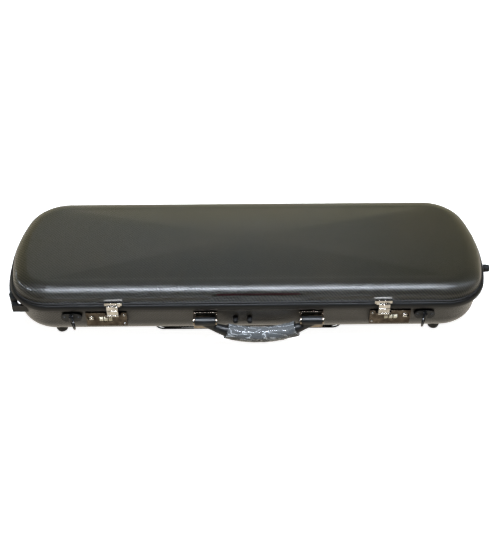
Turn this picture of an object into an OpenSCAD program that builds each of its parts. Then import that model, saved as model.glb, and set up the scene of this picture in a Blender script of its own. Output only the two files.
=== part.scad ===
// Oblong hard violin case with combination latches, carrying handle and end strap handle.
// X runs along the case, Y runs from the front (handle side) to the back (hinge side), Z is up.
// The origin is on the floor under the middle of the base cushion.

/* [Case outline] */
// Length of the lid outline
case_l = 800; // [740:1:960]
// Depth of the lid outline, front to back
case_w = 260; // [240:1:312]
// Radius of the four upright corners
corner_r = 74; // [66:1:90]
// Radius of the bowed ends
end_r = 290; // [250:1:480]

/* [Shell heights] */
// Height of the feet and of the base cushion under the shell
foot_h = 9; // [7:0.5:12]
// Height of the base shell
base_h = 61; // [55:1:73]
// Radius of the bottom edge of the base shell
bottom_r = 33; // [26:1:36]
// How far the base wall sits inside the lid outline
base_inset = 3.8; // [3:0.1:5]
// Inward slope of the base wall over its height
base_draft = 3.6; // [2:0.1:5]
// Height of the rim band
rim_h = 13.6; // [12:0.1:17]
// How far the rim band stands outside the lid outline
rim_out = 3; // [2:0.1:4]
// Height of the straight part of the lid wall
lid_wall_h = 6; // [4:0.5:9]
// Height of the lid's rounded shoulder
shoulder_h = 19.5; // [16:0.5:24]
// Depth of the lid's rounded shoulder
shoulder_d = 32; // [28:0.5:34]
// Rise of the domed top
dome_h = 8; // [4:0.5:12]
// Thickness of both shells
wall = 2.6; // [2:0.1:4]

/* [Interior] */
// Length of the violin body hollow
body_hollow_l = 366; // [362:1:390]
// Width of the hollow at the lower bout
lower_bout_w = 212; // [206:1:218]
// Width of the hollow at the upper bout
upper_bout_w = 174; // [168:1:182]
// Width of the hollow at the waist
waist_w = 134; // [120:1:150]
// Depth of the violin hollow
hollow_d = 44; // [38:1:48]
// Width of the neck channel
neck_w = 56; // [50:1:64]
// Thickness of the foam between the hollow and the shell at the rim
foam_t = 10; // [8:0.5:12]

/* [Latches] */
// Distance from the middle of the case to the middle of each lock
latch_x = 230; // [200:1:250]
// Length of a lock body
lock_l = 66; // [62:1:72]
// Height of a lock body
lock_h = 28; // [27:0.5:30]
// Radius of a number dial
dial_r = 6.4; // [6:0.1:7]
// Distance between the dials
dial_pitch = 7.5; // [7:0.1:8]
// Width of the hasp
hasp_w = 18; // [14:1:22]

/* [Handle] */
// Sideways place of the handle's middle
handle_x = 16; // [0:1:30]
// Distance from the handle's middle to the middle of each barrel
handle_half = 86; // [80:1:100]
// Length of a barrel between its bracket ears
barrel_l = 33; // [28:1:36]
// Radius of the padded grip
grip_r = 11; // [10:0.5:12]
// Radius of the curve of the grip
grip_bend_r = 150; // [130:1:200]
// Height of the bar's lowest point above the floor
grip_z = 27; // [26:0.5:32]
// Radius of the handle pins
handle_pin_r = 2.5; // [2:0.1:3]

/* [Rings and end strap] */
// Distance from the middle of the case to each strap ring
ring_x = 287; // [280:1:292]
// Thickness of the ring wire
ring_wire = 3.2; // [2.8:0.1:3.6]
// Reach of a strap ring from its pivot
ring_reach = 22; // [18:1:26]
// Height of the end strap band
strap_w = 22; // [18:1:26]
// Thickness of the end strap
strap_t = 6; // [5:0.5:8]
// Gap between the top of the base shell's wall and the end strap
strap_gap = 5; // [4:0.5:8]

/* [Fits] */
// Gap between moving pieces
gap = 0.3; // [0.3:0.05:0.4]
// Running gap of a shaft in its bore
run = 0.05; // [0.03:0.01:0.08]

/* [Hidden] */
$fn = 48;

// ---- outline: four corner arcs, two bowed end arcs and two straights ----
half_l = case_l / 2;
half_w = case_w / 2;
end_cx = half_l - end_r;
corner_cy = half_w - corner_r;
corner_cx = end_cx + sqrt(pow(end_r - corner_r, 2) - pow(corner_cy, 2));
end_angle = asin(corner_cy / (end_r - corner_r));
corner_steps = 10;
end_steps = 8;

// Points of an arc as [x, y, direction]
function arc(cx, cy, r, a0, a1, n, first) =
    [for (i = [first:n]) let (a = a0 + (a1 - a0) * i / n) [cx + r * cos(a), cy + r * sin(a), a]];

outline = concat(
    arc(end_cx, 0, end_r, -end_angle, end_angle, end_steps, 0),
    arc(corner_cx, corner_cy, corner_r, end_angle, 90, corner_steps, 1),
    arc(-corner_cx, corner_cy, corner_r, 90, 180 - end_angle, corner_steps, 0),
    arc(-end_cx, 0, end_r, 180 - end_angle, 180 + end_angle, end_steps, 1),
    arc(-corner_cx, -corner_cy, corner_r, 180 + end_angle, 270, corner_steps, 1),
    [for (p = arc(corner_cx, -corner_cy, corner_r, 270, 360 - end_angle, corner_steps, 0))
        if (p[2] < 359.99 - end_angle) p]);
n_ring = len(outline);

// One ring of points at an outward offset o and height z, drawn in towards the middle by s
function ring(o, z, s = 1) =
    [for (p = outline) [s * (p[0] + o * cos(p[2])), s * (p[1] + o * sin(p[2])), z]];

// Solid through a list of rings, bottom first, closed by a flat face at each end
module loft(rings) {
    n = len(rings);
    points = [for (r = rings) each r];
    sides = [for (k = [0:n - 2]) for (i = [0:n_ring - 1]) let (j = (i + 1) % n_ring)
        each [[k * n_ring + i, (k + 1) * n_ring + i, (k + 1) * n_ring + j],
              [k * n_ring + i, (k + 1) * n_ring + j, k * n_ring + j]]];
    bottom = [for (i = [0:n_ring - 1]) i];
    top = [for (i = [n_ring - 1:-1:0]) (n - 1) * n_ring + i];
    polyhedron(points, concat([bottom], sides, [top]));
}

// Band round the case between two outward offsets, from height z0 to z1
module band(o_in, o_out, z0, z1) translate([0, 0, z0]) linear_extrude(z1 - z0) difference() {
    outline_area(o_out);
    outline_area(o_in);
}

// Flat outline at an outward offset, exact
module outline_area(o) {
    square([2 * corner_cx, case_w + 2 * o], center = true);
    for (s = [0, 180]) rotate([0, 0, s]) {
        for (m = [-1, 1]) translate([corner_cx, m * corner_cy]) circle(corner_r + o, $fn = 180);
        intersection() {
            translate([end_cx, 0]) circle(end_r + o, $fn = 360);
            translate([corner_cx, -corner_cy - (corner_r + o) * sin(end_angle)])
                square([end_r, 2 * (corner_cy + (corner_r + o) * sin(end_angle))]);
        }
    }
}

// ---- shell sections ----
base_top = foot_h + base_h;
split_z = base_top + rim_h;
lid_z = split_z + gap;
lid_draft = 2.4;
lid_inset = 1;
shoulder_z = lid_z + lid_wall_h;
dome_z = shoulder_z + shoulder_h;
top_z = dome_z + dome_h;
bottom_steps = 7;
shoulder_steps = 7;

// Outer section of the base, thinned by t, from the bottom edge up
function base_section(t) = concat(
    [for (i = [0:bottom_steps]) let (a = 90 - 90 * i / bottom_steps)
        [-base_inset - base_draft - bottom_r + (bottom_r - t) * cos(a),
         foot_h + bottom_r - (bottom_r - t) * sin(a)]],
    [[-base_inset - t, base_top]]);
// Outer section of the lid, thinned by t, from the edge up
function lid_section(t) = concat(
    [[-lid_inset - t, lid_z]],
    [for (i = [0:shoulder_steps]) let (a = 90 * i / shoulder_steps)
        [-lid_inset - lid_draft - shoulder_d + (shoulder_d - t) * cos(a),
         shoulder_z + (shoulder_h - t) * sin(a)]]);
dome_scales = [0.82, 0.62, 0.42, 0.22, 0.06];

module base_form(t) loft([for (p = base_section(t)) ring(p[0], p[1])]);
module lid_form(t) {
    sec = lid_section(t);
    edge = sec[len(sec) - 1];
    loft(concat([for (p = sec) ring(p[0], p[1])],
        [for (s = dome_scales) ring(edge[0], edge[1] + dome_h * (1 - s * s), s)]));
}
// Solid behind the straight front wall of the base, grown by g
module wall_block(g = 0) {
    sec = base_section(0);
    translate([-corner_cx, 0, 0]) rotate([90, 0, 90]) linear_extrude(2 * corner_cx)
        polygon(concat([[0, foot_h - g]], [[-half_w - sec[0][0] , foot_h - g]],
            [for (p = sec) [-half_w - p[0] - g, p[1]]], [[0, base_top]]));
}
function wall_y(z) = -half_w + base_inset + base_draft * (base_top - z) / (base_h - bottom_r);

// ---- finger scoop in the lid's front wall, above the handle ----
scoop_half = 92;
scoop_depth = 3.4;
scoop_r = (pow(scoop_half, 2) + pow(scoop_depth, 2)) / (2 * scoop_depth);
module scoop(grow)
    translate([handle_x, -half_w + lid_inset + scoop_depth - scoop_r, lid_z + 2.5 - grow])
        cylinder(r = scoop_r + grow, h = 60, $fn = 1080);

module base_shell() color("#3b3a35") difference() {
    base_form(0);
    base_inner();
    for (s = [-1, 1]) lock_hole(s);
    for (s = [-1, 1]) translate([s * ring_x, 0, ring_z]) ring_screws(ring_screw_r + gap);
}
// The hollow of the base, open at the top
module base_inner() {
    sec = base_section(wall);
    last = sec[len(sec) - 1];
    loft(concat([for (p = sec) ring(p[0], p[1])], [ring(last[0], base_top + 1)]));
}
module lid_shell() color("#34352f") difference() {
    lid_form(0);
    scoop(0);
    difference() {
        lid_inner();
        scoop(wall);
    }
}
// The hollow of the lid, open at the bottom
module lid_inner() {
    sec = lid_section(wall);
    edge = sec[len(sec) - 1];
    loft(concat([ring(sec[0][0], lid_z - 1)], [for (p = sec) ring(p[0], p[1])],
        [for (s = dome_scales) ring(edge[0], edge[1] + dome_h * (1 - s * s), s)]));
}

// ---- rim ----
rim_in = -base_inset - wall;
seal_in = -6;
seal_out = -3.6;
seal_h = 2.2;
rim_step = 1;
module base_rim() color("#16191a") difference() {
    union() {
        band(rim_in, rim_out - rim_step, base_top, split_z);
        band(rim_in, rim_out, base_top + 2 * rim_step, split_z - 3 * rim_step);
    }
    band(seal_in, seal_out, split_z - seal_h, split_z + 1);
}
module rim_seal() color("#0d0d0d") band(seal_in, seal_out, split_z - seal_h, split_z);
edge_h = 3;
edge_out = 0.5;
module lid_edge() color("#1b1d1d") band(-lid_inset + 0.02, edge_out, lid_z, lid_z + edge_h);

// ---- interior ----
insert_top = base_top + 6;
insert_o = -base_inset - wall - foam_t;
hollow_floor = insert_top - hollow_d;
body_x0 = -6;
body_x1 = body_x0 + body_hollow_l;
neck_x0 = -262;
neck_floor = insert_top - 26;
lower_x = body_x1 - lower_bout_w / 2;
upper_x = body_x0 + upper_bout_w / 2;
tray_x0 = -304;
tray_x1 = -64;
tray_y1 = -neck_w / 2 - 10;
tray_y0 = -half_w - insert_o + 8;
tray_d = 40;
pocket_y0 = neck_w / 2 + 10;
pocket_y1 = half_w + insert_o - 8;
lid_panel_t = 3;

module violin_area() {
    translate([lower_x, 0]) circle(lower_bout_w / 2, $fn = 120);
    translate([upper_x, 0]) circle(upper_bout_w / 2, $fn = 120);
    translate([upper_x, -waist_w / 2]) square([lower_x - upper_x, waist_w]);
}
module neck_area() {
    translate([neck_x0, -neck_w / 2]) square([body_x0 - neck_x0 + 20, neck_w]);
    translate([neck_x0, 0]) circle(neck_w / 2);
}
module base_insert() color("#4a1420") difference() {
    linear_extrude_from(foot_h + wall, insert_top) outline_area(insert_o);
    // the rounded bottom edge of the shell, kept clear
    difference() {
        linear_extrude_from(foot_h, foot_h + bottom_r) outline_area(1);
        base_form(wall + gap);
    }
    linear_extrude_from(hollow_floor, insert_top + 1) violin_area();
    linear_extrude_from(neck_floor, insert_top + 1) neck_area();
    translate([tray_x0, tray_y0, insert_top - tray_d]) cube([tray_x1 - tray_x0, tray_y1 - tray_y0, tray_d + 1]);
    translate([tray_x0, pocket_y0, insert_top - tray_d])
        cube([tray_x1 - tray_x0, pocket_y1 - pocket_y0, tray_d + 1]);
}
module linear_extrude_from(z0, z1) translate([0, 0, z0]) linear_extrude(z1 - z0) children();

cradle_x = -60;
module neck_cradle() color("#5a1a28") difference() {
    translate([cradle_x, -neck_w / 2 + gap, neck_floor]) cube([34, neck_w - 2 * gap, 18]);
    translate([cradle_x - 1, 0, neck_floor + 22]) rotate([0, 90, 0]) cylinder(r = 16, h = 36);
}
module neck_strap() color("#151515") translate([cradle_x + 5, -neck_w / 2 - 6, insert_top])
    difference() {
        cube([24, neck_w + 12, 1.6]);
        translate([2, 2, 1.2]) cube([20, 8, 1]);
    }
tray_wall = 2;
tray_top = insert_top - 0.2;
module accessory_tray() color("#2a2a2c") translate([tray_x0 + gap, tray_y0 + gap, insert_top - tray_d])
    difference() {
        cube([tray_x1 - tray_x0 - 2 * gap, tray_y1 - tray_y0 - 2 * gap, tray_d - 0.2]);
        translate([tray_wall, tray_wall, tray_wall])
            cube([tray_x1 - tray_x0 - 2 * (gap + tray_wall), tray_y1 - tray_y0 - 2 * (gap + tray_wall), tray_d]);
    }
tube_r = 12;
module string_tube() color("#23262a")
    translate([tray_x0 + 6, (pocket_y0 + pocket_y1) / 2 - 14, insert_top - tray_d + tube_r])
        rotate([0, 90, 0]) difference() {
            cylinder(r = tube_r, h = 220);
            translate([0, 0, 2]) cylinder(r = tube_r - 1.5, h = 210);
        }
gauge_r = 19;
module hygrometer() color("#b08d4a") translate([neck_x0 - 62, 0, insert_top]) {
    cylinder(r = gauge_r, h = 2);
    translate([0, 0, 2]) difference() {
        cylinder(r = gauge_r, h = 3);
        translate([0, 0, 1]) cylinder(r = gauge_r - 2, h = 3);
    }
}
tray_pin_y = tray_y1 + 5;
tray_pin_z = insert_top + 3;
tray_pin_r = 1.2;
tray_ear_l = 6;
module tray_lid_pin() color("silver") {
    translate([tray_x0 + 10, tray_pin_y, tray_pin_z]) rotate([0, 90, 0])
        cylinder(r = tray_pin_r, h = tray_x1 - tray_x0 - 20);
    for (x = [tray_x0 + 10, tray_x1 - 10 - tray_ear_l])
        translate([x, tray_pin_y - 2.5, insert_top]) cube([tray_ear_l, 5, 5.2]);
}
module tray_lid() color("#541a26") difference() {
    union() {
        translate([tray_x0 + 2, tray_y0 - 4, insert_top + gap])
            cube([tray_x1 - tray_x0 - 4, tray_y1 - tray_y0 + 2, lid_panel_t]);
        translate([tray_x0 + 18, tray_pin_y, tray_pin_z]) rotate([0, 90, 0])
            cylinder(r = 2.6, h = tray_x1 - tray_x0 - 36);
        translate([tray_x0 + 18, tray_y1 - 4, insert_top + gap])
            cube([tray_x1 - tray_x0 - 36, tray_pin_y - tray_y1 + 3, lid_panel_t]);
    }
    translate([tray_x0 + 1, tray_pin_y, tray_pin_z]) rotate([0, 90, 0])
        cylinder(r = tray_pin_r + run, h = tray_x1 - tray_x0);
}
module tray_tab() color("#1a1a1a")
    translate([(tray_x0 + tray_x1) / 2 - 8, tray_y0 - 4, insert_top + gap + lid_panel_t]) cube([16, 22, 1.2]);

// ---- under the base ----
cushion_l = 320;
cushion_d = 210;
cushion_r = 18;
module back_cushion() color("#161718") linear_extrude(foot_h - gap) {
    for (s = [0, 90]) square(s == 0 ? [cushion_l, cushion_d - 2 * cushion_r]
        : [cushion_l - 2 * cushion_r, cushion_d], center = true);
    for (sx = [-1, 1], sy = [-1, 1])
        translate([sx * (cushion_l / 2 - cushion_r), sy * (cushion_d / 2 - cushion_r)]) circle(cushion_r);
}
base_foot_x = corner_cx - 4;
base_foot_y = half_w - 34;
base_foot_r = 10;
module base_feet() color("#111111") for (sx = [-1, 1], sy = [-1, 1]) difference() {
    translate([sx * base_foot_x, sy * base_foot_y, 0]) {
        cylinder(r1 = base_foot_r - 1.5, r2 = base_foot_r, h = foot_h / 2);
        translate([0, 0, foot_h / 2]) cylinder(r = base_foot_r, h = foot_h);
    }
    base_form(-0.02);
}
side_foot_z = base_top - 8;
side_foot_r = 7;
spine_foot_x = 294;
// Rubber foot that points along +X from the origin, out to the given reach
module side_foot(reach) rotate([0, 90, 0]) {
    cylinder(r = side_foot_r - 1, h = reach - 2);
    translate([0, 0, reach - 9]) cylinder(r1 = side_foot_r, r2 = side_foot_r - 0.8, h = 9);
}
spine_foot_out = 18;
module spine_feet() color("#111111") difference() {
    for (s = [-1, 1]) translate([s * spine_foot_x, half_w - 14, side_foot_z])
        rotate([0, 0, 90]) side_foot(14 + spine_foot_out);
    mirror([0, 1, 0]) wall_block();
}
end_foot_angle = -4;
corner_foot_angle = 42;
module end_feet() color("#111111") difference() {
    union() {
        translate([end_cx, 0, side_foot_z]) rotate([0, 0, end_foot_angle]) translate([end_r - 14, 0, 0])
            side_foot(14 + spine_foot_out);
        translate([corner_cx, corner_cy, side_foot_z]) rotate([0, 0, corner_foot_angle])
            translate([corner_r - 14, 0, 0]) side_foot(14 + spine_foot_out);
    }
    base_form(-0.1);
}

// ---- hinges ----
hinge_xs = [-230, 0, 230];
hinge_y = half_w + rim_out + 4.4;
hinge_z = split_z + gap / 2;
hinge_r = 3.2;
hinge_pin_r = 1.6;
knuckle_l = 20;
hinge_leaf_t = 1.2;
module knuckle(x, l) translate([x, hinge_y, hinge_z]) rotate([0, 90, 0]) difference() {
    cylinder(r = hinge_r, h = l);
    translate([0, 0, -1]) cylinder(r = hinge_pin_r + run, h = l + 2);
}
module base_hinge_leaves() color("#202020") for (x = hinge_xs) {
    for (s = [-1, 1]) {
        knuckle(x + s * (knuckle_l / 2 + gap) - (s < 0 ? knuckle_l : 0), knuckle_l);
        translate([x + s * (knuckle_l / 2 + gap) - (s < 0 ? knuckle_l : 0), half_w + rim_out, hinge_z - hinge_r - 5])
            cube([knuckle_l, hinge_leaf_t, hinge_r + 4.2]);
        translate([x + s * (knuckle_l / 2 + gap) - (s < 0 ? knuckle_l : 0), half_w + rim_out, hinge_z - hinge_r - 0.2])
            cube([knuckle_l, hinge_y - half_w - rim_out, 1.4]);
    }
}
module lid_hinge_leaves() color("#202020") for (x = hinge_xs) {
    knuckle(x - knuckle_l / 2, knuckle_l);
    translate([x - knuckle_l / 2, half_w + edge_out, hinge_z + 1.9])
        cube([knuckle_l, hinge_y - half_w - edge_out, 1.3]);
    translate([x - knuckle_l / 2, half_w + edge_out, lid_z]) cube([knuckle_l, hinge_leaf_t, 3]);
}
module hinge_pins() color("silver") for (x = hinge_xs)
    translate([x - 1.5 * knuckle_l - gap, hinge_y, hinge_z]) rotate([0, 90, 0])
        cylinder(r = hinge_pin_r, h = 3 * knuckle_l + 2 * gap);

// ---- latches; s is -1 for the left one and 1 for the right one ----
lock_z0 = base_top - 29;
lock_z1 = lock_z0 + lock_h;
lock_front = -half_w - 3.2;
lock_back = -half_w + 12;
plate_back = -half_w + base_inset - 0.6;
dial_z = lock_z0 + 15;
dial_y = lock_front + dial_r - 1.8;
dial_w = 5.6;
axle_r = 1;
slider_z = lock_z0 + 18;
slider_off = 26;
slide_travel = 3;
slider_l = 6.7;
hasp_y = -half_w - rim_out - 3.6;
hasp_z = lock_z1 - 2.4;
hasp_top = lid_z + 2.4;
hasp_pin_r = 1.2;
function dial_x(s, i) = s * (latch_x + 1) + (i - 2) * dial_pitch;

module lock_hole(s) translate([s * latch_x - lock_l / 2 + 3.7, -half_w - 5, lock_z0 + 2.7])
    cube([lock_l - 7.4, 25, lock_h - 5.4]);
module lock_body(s) color("#8d867b") difference() {
    union() {
        difference() {
            translate([s * latch_x - lock_l / 2, lock_front, lock_z0])
                cube([lock_l, -lock_front - half_w + 20, lock_h]);
            wall_block();
        }
        translate([s * latch_x - lock_l / 2 + 4, lock_front + 1, lock_z0 + 3])
            cube([lock_l - 8, lock_back - lock_front - 1, lock_h - 6]);
        // ears of the hasp
        for (m = [-1, 1]) translate([s * (latch_x - 12) + m * (hasp_w / 2 + 2) - 1.5, hasp_y - 2.4, hasp_z - 2.4])
            cube([3, lock_front - hasp_y + 2.6, 4.8]);
    }
    for (i = [1:3]) translate([dial_x(s, i) - dial_w / 2 - gap, dial_y, dial_z]) rotate([0, 90, 0])
        cylinder(r = dial_r + gap, h = dial_w + 2 * gap);
    translate([dial_x(s, 1) - 7, dial_y, dial_z]) rotate([0, 90, 0]) cylinder(r = axle_r, h = 2 * dial_pitch + 14);
    translate([s * (latch_x + slider_off - 2 + slide_travel / 2) - slider_l / 2 - slide_travel / 2 - gap, lock_front - 1,
        slider_z - 4 - gap]) cube([slider_l + slide_travel + 2 * gap, 3.7 + gap, 8 + 2 * gap]);
    translate([s * (latch_x - 12) - hasp_w / 2 - 6, hasp_y, hasp_z]) rotate([0, 90, 0])
        cylinder(r = hasp_pin_r, h = hasp_w + 12);
}
module lock_body_left() lock_body(-1);
module lock_body_right() lock_body(1);
module dial(s, i) color("#e9e2c8") translate([dial_x(s, i) - dial_w / 2, dial_y, dial_z]) rotate([0, 90, 0])
    difference() {
        union() {
            cylinder(r = dial_r, h = dial_w - 1);
            cylinder(r = dial_r - 0.8, h = dial_w);
        }
        translate([0, 0, -1]) cylinder(r = axle_r + run, h = dial_w + 2);
    }
module dial_axles() color("silver") for (s = [-1, 1])
    translate([dial_x(s, 1) - 7, dial_y, dial_z]) rotate([0, 90, 0]) cylinder(r = axle_r, h = 2 * dial_pitch + 14);
module slider(s) color("#d9d9d6")
    translate([s * (latch_x + slider_off - 2) - slider_l / 2, lock_front + 0.6, slider_z - 4]) {
        cube([slider_l, 2.1, 8]);
        for (z = [0.6, 4.6]) translate([0, -2, z]) cube([slider_l, 2.1, 2.6]);
    }
module slider_left() slider(-1);
module slider_right() slider(1);
module hasp(s) color("#d4d3cf") difference() {
    translate([s * (latch_x - 12) - hasp_w / 2, 0, 0]) union() {
        translate([0, hasp_y, hasp_z]) rotate([0, 90, 0]) cylinder(r = 2.3, h = hasp_w);
        translate([0, hasp_y - 1.5, hasp_z]) cube([hasp_w, 2.2, hasp_top - hasp_z]);
        translate([0, hasp_y - 2.3, hasp_z + 9]) cube([hasp_w, 1.2, 2.4]);
    }
    translate([s * (latch_x - 12) - hasp_w, hasp_y, hasp_z]) rotate([0, 90, 0])
        cylinder(r = hasp_pin_r + run, h = 2 * hasp_w);
}
module hasp_left() hasp(-1);
module hasp_right() hasp(1);
module hasp_pins() color("silver") for (s = [-1, 1])
    translate([s * (latch_x - 12) - hasp_w / 2 - 3.5, hasp_y, hasp_z]) rotate([0, 90, 0])
        cylinder(r = hasp_pin_r, h = hasp_w + 7);
catch_w = 28;
module catch(s) color("#dcdbd7") difference() {
    union() {
        translate([s * (latch_x - 14) - catch_w / 2, hasp_y + 1, lid_z + 2.8])
            cube([catch_w, 10, 5.4]);
        translate([s * (latch_x - 14) - catch_w / 2 + 3, hasp_y + 1, lid_z + 0.2])
            cube([catch_w - 6, 1.2, 4]);
    }
    lid_front_block();
}
// Solid behind the straight front wall of the lid and its edge binding
module lid_front_block() {
    sec = lid_section(0);
    translate([-corner_cx, 0, 0]) rotate([90, 0, 90]) linear_extrude(2 * corner_cx) {
        polygon(concat([[0, lid_z]], [for (p = sec) [-half_w - p[0], p[1]]], [[0, dome_z]]));
        polygon([[0, lid_z], [-half_w - edge_out, lid_z], [-half_w - edge_out, lid_z + edge_h],
            [0, lid_z + edge_h]]);
    }
}
module catch_left() catch(-1);
module catch_right() catch(1);
rivet_r = 1.9;
module latch_rivets() color("#c9c7c2") for (s = [-1, 1], z = [lock_z0 + 5, lock_z1 - 5])
    translate([s * (latch_x - lock_l / 2 + 4), lock_front, z]) rotate([90, 0, 0]) cylinder(r = rivet_r, h = 1);

// ---- strap rings ----
ring_z = base_top - 13;
ring_pivot_y = -half_w - 4.6;
ring_screw_r = 1.7;
ring_pivot_r = ring_wire / 2 - 0.2;
ring_inner = 8.4;
ring_swing = 25;
plate_l = 34;
plate_h = 17.5;
module ring_screws(r) for (m = [-1, 1]) translate([m * 11.5, -half_w - 2, 0]) rotate([-90, 0, 0])
    cylinder(r = r, h = 16);
module ring_plate(s) difference() {
    union() {
        difference() {
            translate([s * ring_x, -half_w + 6, ring_z]) rotate([90, 0, 0]) linear_extrude(7.2) {
                square([plate_l - plate_h, plate_h], center = true);
                for (m = [-1, 1]) translate([m * (plate_l - plate_h) / 2, 0]) circle(plate_h / 2);
            }
            wall_block();
        }
        translate([s * ring_x, ring_pivot_y, ring_z - 5]) cylinder(r = 3.4, h = 10);
        translate([s * ring_x - 3.4, ring_pivot_y, ring_z - 5]) cube([6.8, 4, 10]);
        translate([s * ring_x, 0, ring_z]) ring_screws(ring_screw_r);
        for (m = [-1, 1]) translate([s * ring_x + m * 11.5, -half_w - 1.2, ring_z]) rotate([90, 0, 0])
            cylinder(r = 2.6, h = 1);
    }
    translate([s * ring_x, ring_pivot_y, ring_z - 6]) cylinder(r = ring_pivot_r + run, h = 12);
}
module ring_plates() color("#151515") for (s = [-1, 1]) ring_plate(s);
module strap_ring(s) color("#1b1b1b") translate([s * ring_x, ring_pivot_y, ring_z])
    rotate([0, 0, -s * ring_swing]) rotate([90, 0, -90]) {
        straight = ring_reach - ring_inner - ring_wire / 2;
        past = ring_wire / 2 - 0.4;
        for (m = [-1, 1]) translate([-past, m * ring_inner, 0]) rotate([0, 90, 0])
            cylinder(r = ring_wire / 2, h = straight + past);
        rotate([90, 0, 0]) cylinder(r = ring_pivot_r, h = 2 * (ring_inner + past), center = true);
        translate([straight, 0, 0]) rotate([0, 0, -90])
            rotate_extrude(angle = 180) translate([ring_inner, 0]) circle(ring_wire / 2, $fn = 24);
    }
module strap_ring_left() strap_ring(-1);
module strap_ring_right() strap_ring(1);

// ---- carrying handle ----
handle_y = -half_w - 13;
handle_pivot_z = base_top - 12;
barrel_r = 7;
ear_t = 2.4;
ear_r = 6.4;
module handle_bracket(s) difference() {
    union() {
        for (m = [-1, 1]) translate([handle_x + s * handle_half + m * (barrel_l / 2 + gap + ear_t / 2), 0, 0])
            translate([-ear_t / 2, 0, 0]) {
                translate([0, handle_y, handle_pivot_z]) rotate([0, 90, 0]) cylinder(r = ear_r, h = ear_t);
                translate([0, handle_y, handle_pivot_z - ear_r]) cube([ear_t, 20, 2 * ear_r]);
            }
        // polished flange that runs down the wall below the barrel
        translate([handle_x + s * handle_half - barrel_l / 2 - gap - ear_t, -half_w - 3.4, handle_pivot_z - 25])
            cube([barrel_l + 2 * (gap + ear_t), 16, 35]);
    }
    wall_block();
    translate([handle_x + s * handle_half - barrel_l, handle_y, handle_pivot_z]) rotate([0, 90, 0])
        cylinder(r = handle_pin_r, h = 2 * barrel_l);
}
module handle_brackets() color("#b9aea2") for (s = [-1, 1]) handle_bracket(s);
module handle_pins() color("silver") for (s = [-1, 1])
    translate([handle_x + s * handle_half - barrel_l / 2 - gap - ear_t - 0.8, handle_y, handle_pivot_z])
        rotate([0, 90, 0]) cylinder(r = handle_pin_r, h = barrel_l + 2 * (gap + ear_t) + 1.6);
module handle_buffers() color("#101010") for (x = [-21, 2]) difference() {
    translate([x, -half_w + 10, base_top - 23]) rotate([90, 0, 0]) {
        cylinder(r = 4.2, h = 13);
        translate([0, 0, 13]) cylinder(r1 = 4.2, r2 = 3, h = 1.2);
    }
    wall_block();
}
// Sweeps a section along the bend of the grip, from angle a0 to a1 off the vertical
module along_grip(a0, a1) translate([handle_x, handle_y, grip_z + grip_bend_r]) rotate([90, 0, 0])
    rotate([0, 0, -90 + a0]) rotate_extrude(angle = a1 - a0, $fn = 240) translate([grip_bend_r, 0]) children();
grip_angle = 19.5;
film_angle = 24.5;
arm_angle = asin((handle_half - 11) / grip_bend_r);
core_r = 6;
module handle_frame() color("#1a1a1a") {
    along_grip(-arm_angle, arm_angle) circle(core_r, $fn = 32);
    for (s = [-1, 1]) {
        difference() {
            union() {
                translate([handle_x + s * handle_half - barrel_l / 2, handle_y, handle_pivot_z]) rotate([0, 90, 0])
                    cylinder(r = barrel_r, h = barrel_l);
                hull() {
                    translate([handle_x + s * (handle_half - barrel_l / 2 + 13) - 10, handle_y, handle_pivot_z - 2])
                        rotate([0, 90, 0]) cylinder(r = 5, h = 20, $fn = 32);
                    translate([handle_x + s * grip_bend_r * sin(arm_angle), handle_y,
                        grip_z + grip_bend_r * (1 - cos(arm_angle))]) rotate([0, s * (90 - arm_angle), 0])
                        cylinder(r = core_r + 0.5, h = 2, center = true, $fn = 32);
                }
            }
            translate([handle_x + s * handle_half - barrel_l, handle_y, handle_pivot_z]) rotate([0, 90, 0])
                cylinder(r = handle_pin_r + run, h = 2 * barrel_l);
        }
    }
}
module handle_grip() color("#202022") along_grip(-grip_angle, grip_angle) difference() {
    circle(grip_r);
    circle(core_r);
}
film_t = 1;
module handle_film() color("#9aa6b0") along_grip(-grip_angle, film_angle) difference() {
    circle(grip_r + film_t);
    circle(grip_r);
}

// ---- end strap handle ----
side_z = base_top - 13;
strap_in = strap_gap - base_inset;
strap_out = strap_in + strap_t;
strap_end_y = half_w - 46;
end_block_l = 13;
eye_l = 7;
side_pivot_x = -corner_cx - 65;
side_pin_r = 2;
eye_y = strap_end_y + end_block_l - 1;
// The part of a band round the left end that lies between two distances from the middle
module end_band(o_in, o_out, h, y0, y1) translate([0, 0, side_z - h / 2]) linear_extrude(h) intersection() {
    difference() {
        outline_area(o_out);
        outline_area(o_in);
    }
    for (m = y0 > 0 ? [-1, 1] : [1]) translate([-half_l - strap_out - 10, m > 0 ? (y0 > 0 ? y0 : -y1) : -y1])
        square([half_l - corner_cx / 2, y0 > 0 ? y1 - y0 : 2 * y1]);
}
module side_strap() color("#141414") end_band(strap_in, strap_out, strap_w, 0, strap_end_y);
module side_strap_ends() color("#0f0f0f") difference() {
    union() {
        end_band(strap_in - 1.5, strap_out + 1.5, strap_w + 3, strap_end_y, strap_end_y + end_block_l);
        for (m = [-1, 1]) hull() {
            translate([side_pivot_x, m * eye_y - (m < 0 ? eye_l : 0), side_z]) rotate([-90, 0, 0])
                cylinder(r = side_pin_r + 2.5, h = eye_l, $fn = 32);
            translate([side_pivot_x - 7, m * eye_y - (m < 0 ? 1 : 0), side_z - 5]) cube([5, 1, 10]);
        }
    }
    translate([side_pivot_x, 0, side_z]) rotate([90, 0, 0])
        cylinder(r = side_pin_r + run, h = case_w + 20, center = true);
}
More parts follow.
